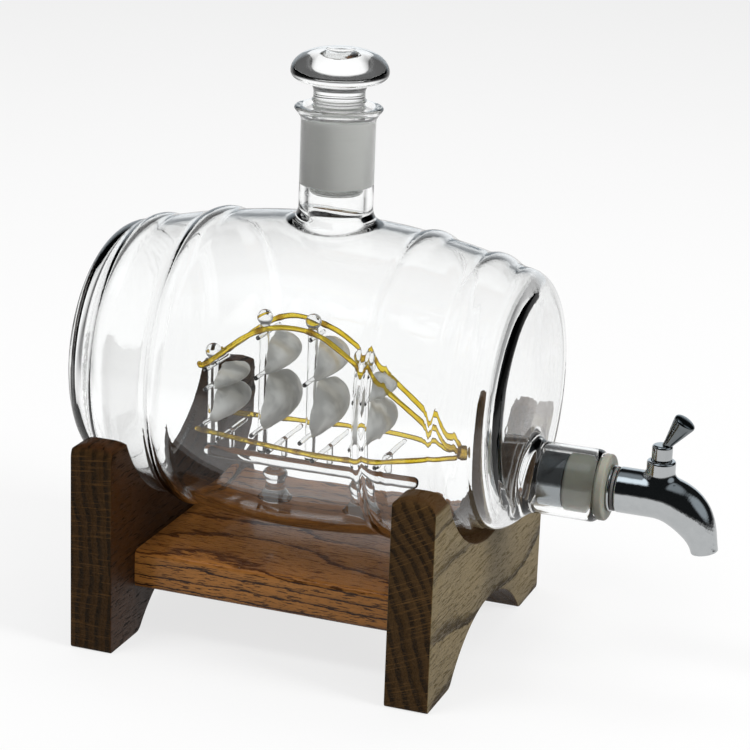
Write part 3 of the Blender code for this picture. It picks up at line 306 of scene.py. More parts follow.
def surface_nets(field, low_corner, step):
    """Quads round the zero level of values on a regular grid."""
    inside = field < 0
    corners = [(i, j, k) for i in (0, 1) for j in (0, 1) for k in (0, 1)]
    shape = tuple(n - 1 for n in field.shape)
    total = np.zeros(shape, int)
    for i, j, k in corners:
        total += inside[i:i + shape[0], j:j + shape[1], k:k + shape[2]]
    mixed = (total > 0) & (total < 8)
    cells = np.argwhere(mixed)
    index = np.full(shape, -1)
    index[mixed] = np.arange(len(cells))
    place = np.zeros((len(cells), 3))
    count = np.zeros(len(cells))
    for a in corners:
        for axis in range(3):
            if a[axis]:
                continue
            b = tuple(1 if n == axis else a[n] for n in range(3))
            fa = field[tuple((cells + a).T)]
            fb = field[tuple((cells + b).T)]
            crosses = (fa < 0) != (fb < 0)
            t = fa[crosses] / (fa[crosses] - fb[crosses])
            spot = cells[crosses] + np.array(a, float)
            spot[:, axis] += t
            place[crosses] += spot
            count[crosses] += 1
    faces = []
    for axis in range(3):
        one, two = (axis + 1) % 3, (axis + 2) % 3
        ahead = np.moveaxis(inside, axis, 0)
        change = np.moveaxis(ahead[:-1] != ahead[1:], 0, axis)
        spots = np.argwhere(change)
        spots = spots[(spots[:, one] > 0) & (spots[:, two] > 0)]
        spots = spots[(spots[:, one] < shape[one]) & (spots[:, two] < shape[two])]
        quad = []
        for back_one, back_two in ((1, 1), (0, 1), (0, 0), (1, 0)):
            cell = spots.copy()
            cell[:, one] -= back_one
            cell[:, two] -= back_two
            quad.append(index[tuple(cell.T)])
        quad = np.stack(quad, 1)
        outward = inside[tuple(spots.T)]
        quad[~outward] = quad[~outward][:, ::-1]
        faces.append(quad)
    return low_corner + place / count[:, None] * step, np.concatenate(faces)


def settle(points, field, rounds=3, keep=None):
    """Move points onto the zero level of a field. Keep is a mask and an axis held still."""
    for _ in range(rounds):
        value, slope = field(points)
        if keep is not None:
            slope[keep[0], keep[1]] = 0
        size = (slope ** 2).sum(1)
        points = points - slope * (value / np.maximum(size, 1e-6))[:, None]
    return points


def grid_points(low_corner, high_corner, step):
    counts = [int(math.ceil((b - a) / step)) + 1 for a, b in zip(low_corner, high_corner)]
    lines = [low_corner[n] + step * np.arange(counts[n]) for n in range(3)]
    return np.stack(np.meshgrid(*lines, indexing="ij"), -1).reshape(-1, 3), counts


def wound(verts, faces, normals):
    """The faces, each wound to agree with its points' normals."""
    result = []
    for f in faces:
        a, b, c = verts[f[0]], verts[f[1]], verts[f[2]]
        wrong = np.dot(np.cross(b - a, c - a), normals[f[1]]) < 0
        result.append(f[::-1] if wrong else f)
    return result


# Materials


class Shade:
    """A material or a world being wired up. Inputs may be sockets or plain values."""

    def __init__(self, name, owner=None):
        self.owner = owner or bpy.data.materials.new(name)
        self.owner.use_nodes = True
        self.tree = self.owner.node_tree
        self.tree.nodes.clear()

    def add(self, kind, *inputs, sockets=None, **settings):
        """A node with its settings, its inputs in order and others by name or number."""
        made = self.tree.nodes.new(kind)
        for key, value in settings.items():
            setattr(made, key, value)
        for i, value in list(enumerate(inputs)) + list((sockets or {}).items()):
            if value is None:
                continue
            socket = made.inputs[i]
            if isinstance(value, bpy.types.NodeSocket):
                self.tree.links.new(value, socket)
            elif isinstance(value, tuple) and socket.type == "RGBA":
                socket.default_value = (*value, 1.0)
            else:
                socket.default_value = value
        return made

    def out(self, kind, *inputs, **more):
        return self.add(kind, *inputs, **more).outputs[0]

    def math(self, operation, a, b=None, c=None):
        return self.out("ShaderNodeMath", a, b, c, operation=operation)

    def times(self, a, b):
        return self.math("MULTIPLY", a, b)

    def plus(self, a, b):
        return self.math("ADD", a, b)

    def minus(self, a, b):
        return self.math("SUBTRACT", a, b)

    def larger(self, a, b):
        return self.math("MAXIMUM", a, b)

    def vector(self, operation, a, b=None):
        made = self.add("ShaderNodeVectorMath", a, b, operation=operation)
        return made.outputs["Value" if operation in ("LENGTH", "DOT_PRODUCT") else "Vector"]

    def place(self):
        """The point on the piece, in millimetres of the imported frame."""
        spot = self.add("ShaderNodeTexCoord").outputs["Object"]
        return self.out("ShaderNodeVectorMath", spot, operation="SCALE", sockets={"Scale": 1000.0})

    def noise(self, spot, scale=1.0, detail=2.0, rough=0.5, warp=0.0):
        inputs = {"Vector": spot, "Scale": scale, "Detail": detail, "Roughness": rough, "Distortion": warp}
        return self.add("ShaderNodeTexNoise", sockets=inputs).outputs["Fac"]

    def streaks(self, spot, scales, detail=2.0, rough=0.5):
        """Noise with its own scale along X, Y and Z."""
        return self.noise(self.vector("MULTIPLY", spot, scales), 1.0, detail, rough)

    def ramp(self, value, *stops, smooth=False):
        made = self.add("ShaderNodeValToRGB", value)
        if smooth:
            made.color_ramp.interpolation = "EASE"
        elements = made.color_ramp.elements
        while len(elements) < len(stops):
            elements.new(0.5)
        for element, (position, level) in zip(elements, stops):
            element.position = position
            element.color = (level, level, level, 1.0)
        return made.outputs["Color"]

    def mix(self, share, a, b):
        return self.add("ShaderNodeMix", data_type="RGBA", sockets={0: share, 6: a, 7: b}).outputs[2]

    def span(self, value, low, high, to_low=0.0, to_high=1.0):
        return self.out("ShaderNodeMapRange", value, low, high, to_low, to_high)

    def bump(self, height, distance):
        inputs = {"Strength": 1.0, "Distance": distance, "Height": height}
        return self.add("ShaderNodeBump", sockets=inputs).outputs["Normal"]

    def surface(self, slot, shadow_clear=None, **values):
        """Wire up the shader and give the material and its slot. With shadow_clear, lamps shine through."""
        inputs = {key.replace("_", " "): value for key, value in values.items()}
        result = self.out("ShaderNodeBsdfPrincipled", sockets=inputs)
        if shadow_clear is not None:
            see = self.out("ShaderNodeBsdfTransparent", shadow_clear)
            path = self.add("ShaderNodeLightPath").outputs["Is Shadow Ray"]
            result = self.out("ShaderNodeMixShader", path, result, see)
        self.add("ShaderNodeOutputMaterial", result)
        return self.owner, slot


def clear_glass(name, edge=(0.42, 0.44, 0.45), waves=0.0001, frost=None):
    """Lampworked clear glass, with painted shade that greys it where it is seen edge on. Frost is (low z, high z,
    radius).
    """
    s = Shade(name)
    spot = s.place()
    # Painted shade: the edge colour greys the glass where it is seen edge on.
    facing = s.add("ShaderNodeLayerWeight", 0.5).outputs["Facing"]
    painted_edge_shade = s.ramp(facing, (0.70, 0.0), (0.92, 0.35), (1.0, 1.0))
    tint = s.mix(s.streaks(spot, (0.03, 0.08, 0.08), 3.0), (0.985, 0.99, 0.99), (0.995, 1.0, 0.997))
    colour = s.mix(painted_edge_shade, tint, edge)
    rough = s.span(s.noise(spot, 0.15, 4.0), 0.35, 0.75, 0.0, 0.012)
    slow = s.streaks(spot, (0.05, 0.07, 0.07), 2.0, 0.4)
    transmission = 1.0
    if frost:
        low_z, high_z, radius = frost
        soft = 0.15
        from_neck = s.vector("SUBTRACT", spot, (NECK_X + MIDDLE_X, 0.0, 0.0))
        x, y, z = s.add("ShaderNodeSeparateXYZ", from_neck).outputs
        out = s.math("SQRT", s.plus(s.times(x, x), s.times(y, y)))
        ground = s.times(s.span(z, low_z - soft, low_z + soft), s.span(z, high_z - soft, high_z + soft, 1, 0))
        ground = s.times(ground, s.span(out, radius - 0.1, radius + 0.1, 1, 0))
        grain = s.noise(spot, 6.0, 3.0, 0.7)
        lines = s.streaks(spot, (0.05, 0.05, 5.0))
        grey = s.mix(s.times(s.plus(grain, lines), 0.5), (0.74, 0.74, 0.72), (0.95, 0.95, 0.93))
        colour = s.mix(ground, colour, grey)
        rough = s.plus(rough, s.times(ground, 0.5))
        slow = s.plus(slow, s.times(s.times(ground, grain), 0.4))
        transmission = s.span(ground, 0, 1, 1.0, 0.40)
    return s.surface(
        "clear_glass", shadow_clear=(0.76, 0.77, 0.77), Base_Color=colour, Roughness=rough, IOR=1.47,
        Transmission_Weight=transmission, Normal=s.bump(slow, waves),
    )


def frosted_glass(name):
    """Sand blasted glass, for the sails."""
    s = Shade(name)
    spot = s.place()
    cloud = s.noise(spot, 0.10, 2.5, 0.5, 0.2)
    grain = s.noise(spot, 7.0, 3.0, 0.7)
    clouds = s.ramp(cloud, (0.38, 0.0), (0.62, 1.0), smooth=True)
    colour = s.mix(clouds, (0.58, 0.58, 0.565), (0.94, 0.94, 0.92))
    colour = s.mix(s.span(grain, 0.3, 0.7, 0.0, 0.2), colour, (0.45, 0.45, 0.45))
    return s.surface(
        "frosted_glass", shadow_clear=(0.75, 0.75, 0.75), Base_Color=colour, IOR=1.47, Transmission_Weight=0.3,
        Roughness=s.span(grain, 0.2, 0.8, 0.42, 0.62), Normal=s.bump(s.plus(s.times(grain, 0.4), cloud), 0.0001),
    )


def amber_glass(name, knots):
    """Yellow glass rod, with painted shade browner where it is seen edge on, and browner where it was fused to
    others.
    """
    s = Shade(name)
    spot = s.place()
    facing = s.add("ShaderNodeLayerWeight", 0.5).outputs["Facing"]
    cloud = s.noise(spot, 0.25, 3.0, 0.6)
    colour = s.mix(s.ramp(cloud, (0.35, 0.0), (0.65, 1.0)), (0.88, 0.62, 0.035), (0.98, 0.78, 0.09))
    # Painted shade: browner where the rod is seen edge on.
    colour = s.mix(s.ramp(facing, (0.30, 0.0), (0.75, 1.0)), colour, (0.13, 0.07, 0.004))
    burnt = 0.0
    for (x, y, z), reach in knots:
        away = s.vector("LENGTH", s.vector("SUBTRACT", spot, (x + MIDDLE_X, y, z)))
        burnt = s.larger(burnt, s.span(away, reach * 0.45, reach, 1.0, 0.0))
    colour = s.mix(s.times(burnt, 0.8), colour, (0.26, 0.10, 0.015))
    return s.surface(
        "amber_glass", shadow_clear=(0.8, 0.65, 0.3), Base_Color=colour, IOR=1.5, Transmission_Weight=0.82,
        Roughness=s.span(cloud, 0.2, 0.8, 0.02, 0.09), Normal=s.bump(s.noise(spot, 0.5), 0.0002),
    )


def chrome(name, dark=0.0):
    """Polished plating with faint waves, haze and fine scratches. Dark lowers its colour, as painted shade for
    parts that reflect a dark room.
    """
    s = Shade(name)
    spot = s.place()
    haze = s.noise(spot, 0.3, 4.0, 0.65)
    scratch = s.streaks(spot, (0.4, 7.0, 7.0), 3.0, 0.7)
    # Painted shade: dark makes a darker copy of the plating.
    low, high = (tuple(c - dark for c in colour) for colour in ((0.55, 0.57, 0.58), (0.66, 0.68, 0.69)))
    height = s.plus(s.noise(spot, 0.12), s.times(scratch, 0.06))
    rough = s.plus(s.span(haze, 0.3, 0.8, 0.03, 0.10), s.times(scratch, 0.03))
    return s.surface("chrome", Base_Color=s.mix(haze, low, high), Metallic=1.0, Roughness=rough,
                     Normal=s.bump(height, 0.00015))


def brass(name):
    s = Shade(name)
    spot = s.place()
    lines = s.streaks(spot, (0.3, 0.3, 8.0), 3.0, 0.7)
    stain = s.noise(spot, 0.5, 4.0, 0.6)
    rough = s.plus(s.span(stain, 0.3, 0.8, 0.18, 0.34), s.times(lines, 0.08))
    return s.surface("brass", Base_Color=s.mix(stain, (0.62, 0.42, 0.16), (0.80, 0.62, 0.30)), Metallic=1.0,
                     Roughness=rough, Normal=s.bump(lines, 0.00006))


def silicone(name, colour_low=(0.38, 0.38, 0.31), colour_high=(0.50, 0.50, 0.42)):
    """Milky moulded silicone."""
    s = Shade(name)
    spot = s.place()
    grain = s.noise(spot, 5.0, 3.0, 0.6)
    return s.surface(
        "silicone", Base_Color=s.mix(s.noise(spot, 0.3, 3.0, 0.6), colour_low, colour_high),
        Roughness=s.span(grain, 0.3, 0.7, 0.28, 0.45), Transmission_Weight=0.25, IOR=1.41,
        Subsurface_Weight=0.25, Subsurface_Scale=0.004, Normal=s.bump(grain, 0.00005),
    )


def rubber(name):
    s = Shade(name)
    grain = s.noise(s.place(), 4.0, 4.0, 0.6)
    return s.surface(
        "rubber", Base_Color=s.mix(grain, (0.018, 0.018, 0.018), (0.05, 0.05, 0.05)),
        Roughness=s.span(grain, 0.3, 0.7, 0.5, 0.75), Normal=s.bump(grain, 0.0001),
    )


def dim(colour, share):
    return tuple(min(1.0, c * share) for c in colour)


def oak(name, grain, centre, light, dark, end_light, end_dark, spacing=5.2, seed=0.0, gloss=0.2,
        flecks=1.0, edges=0.0):
    """Stained oak cut from one log. Grain is the long axis, centre the pith in the other two. Edges sets painted
    shade on faces turned up or down.
    """
    s = Shade(name)
    order = {"x": (0, 1, 2), "y": (1, 0, 2)}[grain]
    apart = s.add("ShaderNodeSeparateXYZ", s.place()).outputs
    along, u, v = (apart[n] for n in order)

    def at(scale_along, scale_across, shift=0.0):
        return s.out("ShaderNodeCombineXYZ", s.math("MULTIPLY_ADD", along, scale_along, seed + shift),
                     s.math("MULTIPLY_ADD", u, scale_across, seed), s.times(v, scale_across))

    sway = s.times(s.minus(s.noise(at(0.010, 0.022)), 0.5), 14.0)
    ripple = s.times(s.minus(s.noise(at(0.11, 0.30, 5.0), 1.0, 4.0, 0.65), 0.5), 2.2)
    from_u, from_v = s.minus(u, centre[0]), s.minus(v, centre[1])
    pith = s.out("ShaderNodeCombineXYZ", from_u, from_v, 0.0)
    radius = s.plus(s.vector("LENGTH", pith), s.plus(sway, ripple))
    season = s.math("FRACT", s.math("DIVIDE", radius, spacing))
    line = s.ramp(season, (0.0, 0.35), (0.03, 1.0), (0.10, 0.85), (0.17, 0.25), (0.45, 0.04), (1.0, 0.0))
    rings = s.math("FRACT", s.math("DIVIDE", radius, min(spacing, 4.6)))
    band = s.ramp(rings, (0.0, 0.4), (0.08, 1.0), (0.34, 0.85), (0.50, 0.15), (0.95, 0.0), (1.0, 0.4))
    line = s.times(line, s.span(s.noise(at(0.02, 0.05, 9.0)), 0.28, 0.52, 0.45, 1.0))
    grits = s.plus(s.noise(at(0.17, 1.7, 3.0), 1.0, 3.0, 0.6), s.times(line, 0.13))
    pores = s.span(grits, 0.575, 0.625)
    small = s.span(s.noise(at(0.34, 4.2, 13.0), 1.0, 3.0, 0.65), 0.56, 0.66)
    fibre = s.noise(at(0.05, 3.4, 7.0), 1.0, 4.0, 0.65)
    fibres = s.span(fibre, 0.3, 0.7)
    patch = s.span(s.noise(at(0.015, 0.05, 2.0), 1.0, 3.0, 0.6), 0.3, 0.7)
    dots = s.span(s.noise(at(0.05, 2.4, 17.0), 1.0, 3.0, 0.6), 0.46, 0.58)
    angle = s.times(s.math("ARCTAN2", from_v, from_u), 340.0)
    ray_spot = s.out("ShaderNodeCombineXYZ", s.times(angle, 1.9), s.times(radius, 0.05), s.times(along, 0.12))
    rays = s.span(s.noise(ray_spot, 1.0, 3.0, 0.65), 0.55, 0.64)
    facing = s.add("ShaderNodeSeparateXYZ", s.add("ShaderNodeTexCoord").outputs["Normal"]).outputs
    # Painted shade: faces turned up or down are darkened by edges.
    up_down_shade = s.span(s.math("ABSOLUTE", facing[2]), 0.08, 0.5, 0.0, edges)
    end_grain = s.span(s.math("ABSOLUTE", facing[order[0]]), 0.55, 0.9)
    face, end = light, end_light
    for share, colour in (
        (patch, dim(light, 0.72)), (s.times(fibres, 0.45), dim(light, 0.5)), (s.times(line, 0.95), dark),
        (s.times(small, 0.45 * flecks), dark), (s.times(pores, 0.85 * flecks), dim(dark, 0.45)),
        (up_down_shade, tuple(c * d for c, d in zip(light, (0.24, 0.15, 0.10)))),
    ):
        face = s.mix(share, face, colour)
    for share, colour in (
        (fibres, dim(end_light, 0.5)), (s.times(band, s.math("MULTIPLY_ADD", dots, 0.4, 0.6)), end_dark),
        (s.times(rays, 0.55), dim(end_light, 2.0)),
    ):
        end = s.mix(share, end, colour)
    deep = s.plus(s.times(pores, 0.8), s.times(small, 0.35))
    height = s.minus(s.times(fibre, 0.35), deep)
    rough = s.plus(s.span(fibre, 0.3, 0.7, 0.38, 0.50), s.times(pores, 0.25))
    return s.surface(
        "oak", Base_Color=s.mix(end_grain, face, end), Roughness=rough, Specular_IOR_Level=0.12,
        Normal=s.bump(height, 0.00025), Coat_Weight=gloss, Coat_Roughness=0.18,
    )


# Oak stand

CRADLE_T, CRADLE_W, CRADLE_H, CRADLE_IN = 17.0, 68.2, 82.2, 55.3
SEAT_R = 61.5
ARCH_W, ARCH_H = 43.0, 20.3
CRADLE_EASE = 0.45
GAP = 0.3  # left between pieces that rest on each other
HALF_LENGTH, END_ROUND = 86.4, 10.0


def side_radius(x):
    return 61.0 - (61.0 - 46.6) * (x / HALF_LENGTH) ** 2


def arc(cx, cy, radius, start, end, steps):
    angles = [start + (end - start) * i / steps for i in range(steps + 1)]
    return [(cx + radius * math.cos(a), cy + radius * math.sin(a)) for a in angles]


def cradle_outline():
    """Half of a cradle's shape from the top of its arch round the foot and horn, then the other half."""
    arch_r = (ARCH_W ** 2 + ARCH_H ** 2) / (2 * ARCH_H)
    arch_end = math.asin((arch_r - ARCH_H) / arch_r)
    arch = arc(0, ARCH_H - arch_r, arch_r, math.pi / 2, arch_end, 30)
    arch[-1] = (ARCH_W, 0.0)
    seat_z = AXIS_Z - side_radius(CRADLE_IN) - GAP + SEAT_R
    seat_start = -math.asin((seat_z - CRADLE_H) / SEAT_R)
    seat = arc(0, seat_z, SEAT_R, seat_start, -math.pi / 2, 44)
    near_foot = [p for p in arch if math.dist(p, arch[-1]) > 3.6]
    near_tip = [p for p in seat if math.dist(p, seat[0]) > 4.2]
    outer_foot, outer_tip = (CRADLE_W, 0.0), (CRADLE_W, CRADLE_H)
    half = list(near_foot)
    for before, corner, after, reach, steps in (
        (near_foot[-1], arch[-1], outer_foot, 3.2, 6), (arch[-1], outer_foot, outer_tip, 1.6, 5),
        (outer_foot, outer_tip, seat[0], 6.0, 10), (outer_tip, seat[0], near_tip[0], 2.0, 6),
    ):
        half += eased([before, corner, after], reach, steps)[1:-1]
    half += near_tip
    return half + [(-y, z) for y, z in reversed(half[1:-1])]


def inset(outline, amount):
    """Move a closed outline inwards, given anticlockwise or clockwise."""
    points = np.array(outline)
    ahead, behind = np.roll(points, -1, 0), np.roll(points, 1, 0)
    area = (points[:, 0] * ahead[:, 1] - ahead[:, 0] * points[:, 1]).sum()
    edges = unit(ahead - points) + unit(points - behind)
    total = np.stack([-edges[:, 1], edges[:, 0]], 1) * np.sign(area)
    total /= np.maximum((total ** 2).sum(1), 0.5)[:, None] / 2
    return points + total * amount


def make_cradle(end, side, horn_front, horn_rear, finish):
    """A cradle with rounded edges, whose horns drop towards its front and its rear."""
    outline = cradle_outline()
    half = CRADLE_T / 2
    stations = [(-half + CRADLE_EASE * (1 - math.cos(a)), CRADLE_EASE * (1 - math.sin(a)))
                for a in np.linspace(0, math.pi / 2, 5)]
    flat = half - CRADLE_EASE
    stations += [(x, 0.0) for x in np.linspace(-flat, flat, 15)[1:-1]]
    stations += [(-x, amount) for x, amount in reversed(stations[:5])]
    verts, rows = [], []
    for x, amount in stations:
        drop = horn_front if x > 0 else horn_rear
        top = CRADLE_H - drop * (1 - math.sqrt(max(0.0, 1 - (x / (half + 0.2)) ** 2)))
        rows.append(range(len(verts), len(verts) + len(outline)))
        middle = side * (CRADLE_IN + half)
        verts += [(middle + x, y, min(z, top - amount * 0.3)) for y, z in inset(outline, amount)]
    shape = verts, bridge(rows, capped=True)
    finish_piece(f"stand_{end}_cradle", shape, "stand", finish, f"{end}_cradle", sharp=28)


def make_board(finish):
    half_x, half_y, low_z, high_z = 55.0, 48.1, 20.3, 35.5
    corners = [(-half_y, low_z), (half_y, low_z), (half_y, high_z), (-half_y, high_z)]
    outline = eased(corners, 2.3, 6, closed=True)
    verts, rows = [], []
    for x in np.linspace(-half_x, half_x, 9):
        rows.append(range(len(verts), len(verts) + len(outline)))
        verts += [(x, y, z) for y, z in outline]
    shape = verts, bridge(rows, capped=True)
    finish_piece("stand_board", shape, "stand", finish, "cross_board", sharp=35)


def make_stand():
    front = oak("oak_front_cradle", "y", (MIDDLE_X - 253, -107), (0.300, 0.226, 0.108), (0.050, 0.034, 0.018),
                (0.125, 0.066, 0.022), (0.011, 0.007, 0.004), spacing=9.0, gloss=0.0, flecks=0.35, edges=0.95)
    # The rear cradle takes a far darker copy of the oak, as painted shade from the barrel above it; edges paints
    # shade on faces turned up or down.
    rear = oak("oak_rear_cradle", "y", (MIDDLE_X - 484, 20), (0.066, 0.025, 0.007), (0.010, 0.005, 0.002),
               (0.092, 0.045, 0.014), (0.011, 0.007, 0.003), seed=31.0, gloss=0.0)
    board = oak("oak_board", "x", (-60, -190), (0.74, 0.305, 0.068), (0.060, 0.022, 0.007),
                (0.11, 0.05, 0.02), (0.02, 0.012, 0.008), spacing=4.0, seed=57.0, gloss=0.5, edges=0.35)
    make_cradle("front", 1, 7.0, 4.0, front)
    make_cradle("rear", -1, 2.8, 2.8, rear)
    make_board(board)
    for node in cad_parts:
        if node.startswith("dowel_"):
            wood = oak("beech_" + node, "x", (80, 60), (0.50, 0.33, 0.17), (0.33, 0.20, 0.09),
                       (0.42, 0.27, 0.13), (0.25, 0.15, 0.07), spacing=2.4, seed=len(node) + ord(node[-4]))
            dress(node, wood)


def dress(node, finish):
    """Give a CAD node that stays in view its material."""
    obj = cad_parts[node]
    if not obj.material_slots:
        obj.data.materials.append(finish[0])
    for slot in obj.material_slots:
        slot.material = finish[0]


# Glass vessel


HOOPS_X = (67.6, 41.4, -44.5, -71.0)
HOOP_RISE, HOOP_WIDTH, HOOP_SOFTENING = 1.6, 9.8, 7
WALL, END_WALL = 3.0, 4.5
NECK_R, NECK_BORE_R, NECK_CUT = 14.1, 10.6, 171.0
SPIGOT_R, SPIGOT_BORE_R, SPIGOT_CUT = 13.75, 11.2, 95.0
TUBE_END = 113.9


def hoop_rise(x):
    for middle in HOOPS_X:
        share = (x - middle) / (HOOP_WIDTH / 2)
        if abs(share) < 1:
            return HOOP_RISE * math.cos(share * math.pi / 2) ** 0.8
    return 0.0


def vessel_profile(wall, end_wall):
    """Outline of the barrel, or of the space a wall's thickness inside it."""
    corner_x = HALF_LENGTH - END_ROUND
    corner_r = side_radius(corner_x) - END_ROUND
    xs = np.arange(-corner_x, corner_x + 0.01, 0.4)
    radii = np.array([side_radius(x) + hoop_rise(x) for x in xs])
    for _ in range(HOOP_SOFTENING):
        radii[1:-1] = (radii[:-2] + 2 * radii[1:-1] + radii[2:]) / 4
    if wall:
        slope = np.gradient(radii, xs)
        steep = np.sqrt(1 + slope ** 2)
        radii = np.interp(xs, np.maximum.accumulate(xs + wall * slope / steep), radii - wall / steep)
    radii[0] = radii[-1] = side_radius(corner_x) - wall
    front = []
    for r in np.linspace(0, corner_r, 70, endpoint=False):
        front.append((r, HALF_LENGTH - end_wall + 0.75 + 0.75 * math.cos(math.pi * r / corner_r)))
    across, ahead = END_ROUND - wall, END_ROUND - end_wall
    for a in np.linspace(0, math.pi / 2, 28)[:-1]:
        front.append((corner_r + across * math.sin(a), corner_x + ahead * math.cos(a)))
    side = [(r, x) for r, x in zip(radii[::-1], xs[::-1])]
    return front + side + [(r, -x) for r, x in reversed(front)]


def cut_open(verts, faces, cuts):
    """Cut a surface by planes, each given by a point and the way that is cleared."""
    work = bmesh.new()
    made = [work.verts.new(v) for v in verts.tolist()]
    for quad in faces.tolist():
        work.faces.new([made[i] for i in quad])
    for place, way in cuts:
        geometry = work.verts[:] + work.edges[:] + work.faces[:]
        bmesh.ops.bisect_plane(work, geom=geometry, dist=1e-5, plane_co=place, plane_no=way, clear_outer=True)
    work.verts.index_update()
    verts = np.array([v.co[:] for v in work.verts])
    faces = [[v.index for v in f.verts] for f in work.faces]
    work.free()
    return verts, faces


def turned_end(outline, place, axis, steps=144):
    """The lathed end of a neck or a spigot: its points, faces and normals."""
    dense = []
    for a, b in zip(outline, outline[1:]):
        count = max(1, int(math.dist(a, b) / 3.0))
        dense += [tuple(np.add(a, np.subtract(b, a) * k / count)) for k in range(count)]
    dense.append(outline[-1])
    verts, faces = lathe(dense, steps, False, place, axis)
    verts = np.array(verts)
    ways = np.repeat(unit(corner_normals(np.array(dense), 1)), steps, axis=0)
    across = unit((verts - place)[:, ORDER[axis][1:]]) * ways[:, :1]
    return verts, faces, spread((ways[:, 1], across[:, 0], across[:, 1]), axis)


def make_vessel(finish):
    """Barrel, neck and spigot as one wall of glass. The ends of the two tubes are lathed."""
    outer = Outline(vessel_profile(0.0, 0.0))
    inner = Outline(vessel_profile(WALL, END_WALL))
    centre = np.array((0, 0, AXIS_Z))
    neck = np.array((NECK_X, 0, AXIS_Z))
    spigot = np.array((0, 0, SPIGOT_Z))

    def tubed(outline, points, neck_r, neck_fillet, spigot_r, spigot_fillet):
        form = turned_field(outline, points, centre, "x")
        form = soft_union(form, pipe_field(points, neck, "z", neck_r, 40.0), neck_fillet)
        return soft_union(form, pipe_field(points, spigot, "x", spigot_r, 60.0), spigot_fillet)

    def field(points):
        shell = tubed(outer, points, NECK_R, 5.5, SPIGOT_R, 5.5)
        space = tubed(inner, points, NECK_BORE_R, 4.0, SPIGOT_BORE_R, 3.0)
        return without(shell, space, 0.6)

    step = 1.15
    low_corner, high_corner = (-90.5, -65.0, 37.2), (96.6, 65.0, 172.6)
    points, counts = grid_points(low_corner, high_corner, step)
    values = np.full(len(points), 5.0)
    rel = points - centre
    radial = np.sqrt(rel[:, 1] ** 2 + rel[:, 2] ** 2)
    near_side = (radial < 66) & (radial > 38)
    near_end = np.abs(points[:, 0]) > 74
    near_neck = (points[:, 2] > 150) & (np.hypot(points[:, 0] - NECK_X, points[:, 1]) < 26)
    wanted = near_side | near_end | near_neck
    values[wanted] = field(points[wanted])[0]
    verts, faces = surface_nets(values.reshape(counts), np.array(low_corner), step)
    cuts = (((0, 0, NECK_CUT), (0, 0, 1)), ((SPIGOT_CUT, 0, 0), (1, 0, 0)))
    verts, faces = cut_open(settle(verts, field), faces, cuts)
    verts = settle(verts, field, 2, (np.abs(verts[:, 2] - NECK_CUT) < 1e-3, 2))
    verts[np.abs(verts[:, 0] - SPIGOT_CUT) < 0.05, 0] = SPIGOT_CUT
    normals = unit(field(verts)[1])

    neck_outline = eased([
        (NECK_R, NECK_CUT), (NECK_R, 201.6), (15.9, 203.9), (16.9, 205.2), (16.0, RIM_Z), (13.6, RIM_Z),
        (12.7, 205.0), (12.0, 201.6), (NECK_BORE_R, 172.6), (NECK_BORE_R, NECK_CUT),
    ], [0, 2.2, 0.9, 0.6, 0.9, 0.7, 1.6, 0.8, 0.5, 0], 6)
    spigot_outline = eased([
        (SPIGOT_R, SPIGOT_CUT), (SPIGOT_R, 112.6), (12.9, TUBE_END), (11.8, TUBE_END), (SPIGOT_BORE_R, 113.2),
        (SPIGOT_BORE_R, SPIGOT_CUT),
    ], [0, 1.0, 0.5, 0.5, 0.4, 0], 5)
    for outline, place, axis in ((neck_outline, (NECK_X, 0, 0), "z"), (spigot_outline, (0, 0, SPIGOT_Z), "x")):
        points, polygons, ways = turned_end(outline, place, axis)
        start = len(verts)
        verts = np.concatenate([verts, points])
        normals = np.concatenate([normals, ways])
        faces += [[i + start for i in polygon] for polygon in polygons]
    shape = verts, wound(verts, faces, normals)
    finish_piece("glass_vessel", shape, "barrel", finish, "glass_barrel", "glass_neck", "glass_spigot",
                 normals=normals)


def make_stopper(finish):
    """Hollow ground plug and solid cap in one, as the stopper's stem is fused to both."""
    top = RIM_Z - 4.5 + GAP
    bottom = top - 29.0
    stem_low, stem_high = top + 0.8, top + 13.1
    outline = [(0, bottom), (9.2, bottom), (10.3, bottom + 1.4), (11.65, top - 0.8), (10.8, top + 0.5),
               (9.6, top + 0.9), (9.6, stem_low + 1.6)]
    for share in (0.25, 0.45):
        ridge = stem_low + 12.3 * share
        outline += [(9.7, ridge - 0.8), (10.3, ridge - 0.25), (10.3, ridge + 0.25), (9.7, ridge + 0.8)]
    outline += [(9.7, stem_high - 3.0), (10.6, stem_high - 0.9), (12.6, stem_high + 0.1)]
    cap_height, cap_r = 13.0, 18.5
    widest, summit = stem_high + cap_height * 0.31, stem_high + cap_height
    for a in np.linspace(0.15, math.pi / 2, 9):
        outline.append((cap_r - 6.0 * (1 - math.sin(a)), widest - (widest - stem_high) * math.cos(a)))
    for a in np.linspace(0.12, math.pi / 2 - 0.12, 12):
        outline.append((5.2 + (cap_r - 5.2) * math.cos(a), widest + (summit - 0.6 - widest) * math.sin(a)))
    outline += [(5.6, summit - 0.7), (5.0, summit - 0.1), (4.2, summit), (0, summit)]
    hollow = [(0, top + 0.2), (7.9, top - 0.6), (9.6, top - 3.2), (8.5, bottom + 3.4), (6.8, bottom + 1.9),
              (0, bottom + 1.8)]
    shape = join(lathe(eased(outline, 0.8, 4), 128, False, (NECK_X, 0, 0)),
                 lathe(eased(hollow, 1.6, 5), 96, False, (NECK_X, 0, 0)))
    finish_piece("glass_stopper", shape, "stopper", finish, "stopper_plug", "stopper_cap", sharp=60)


# Glass ship

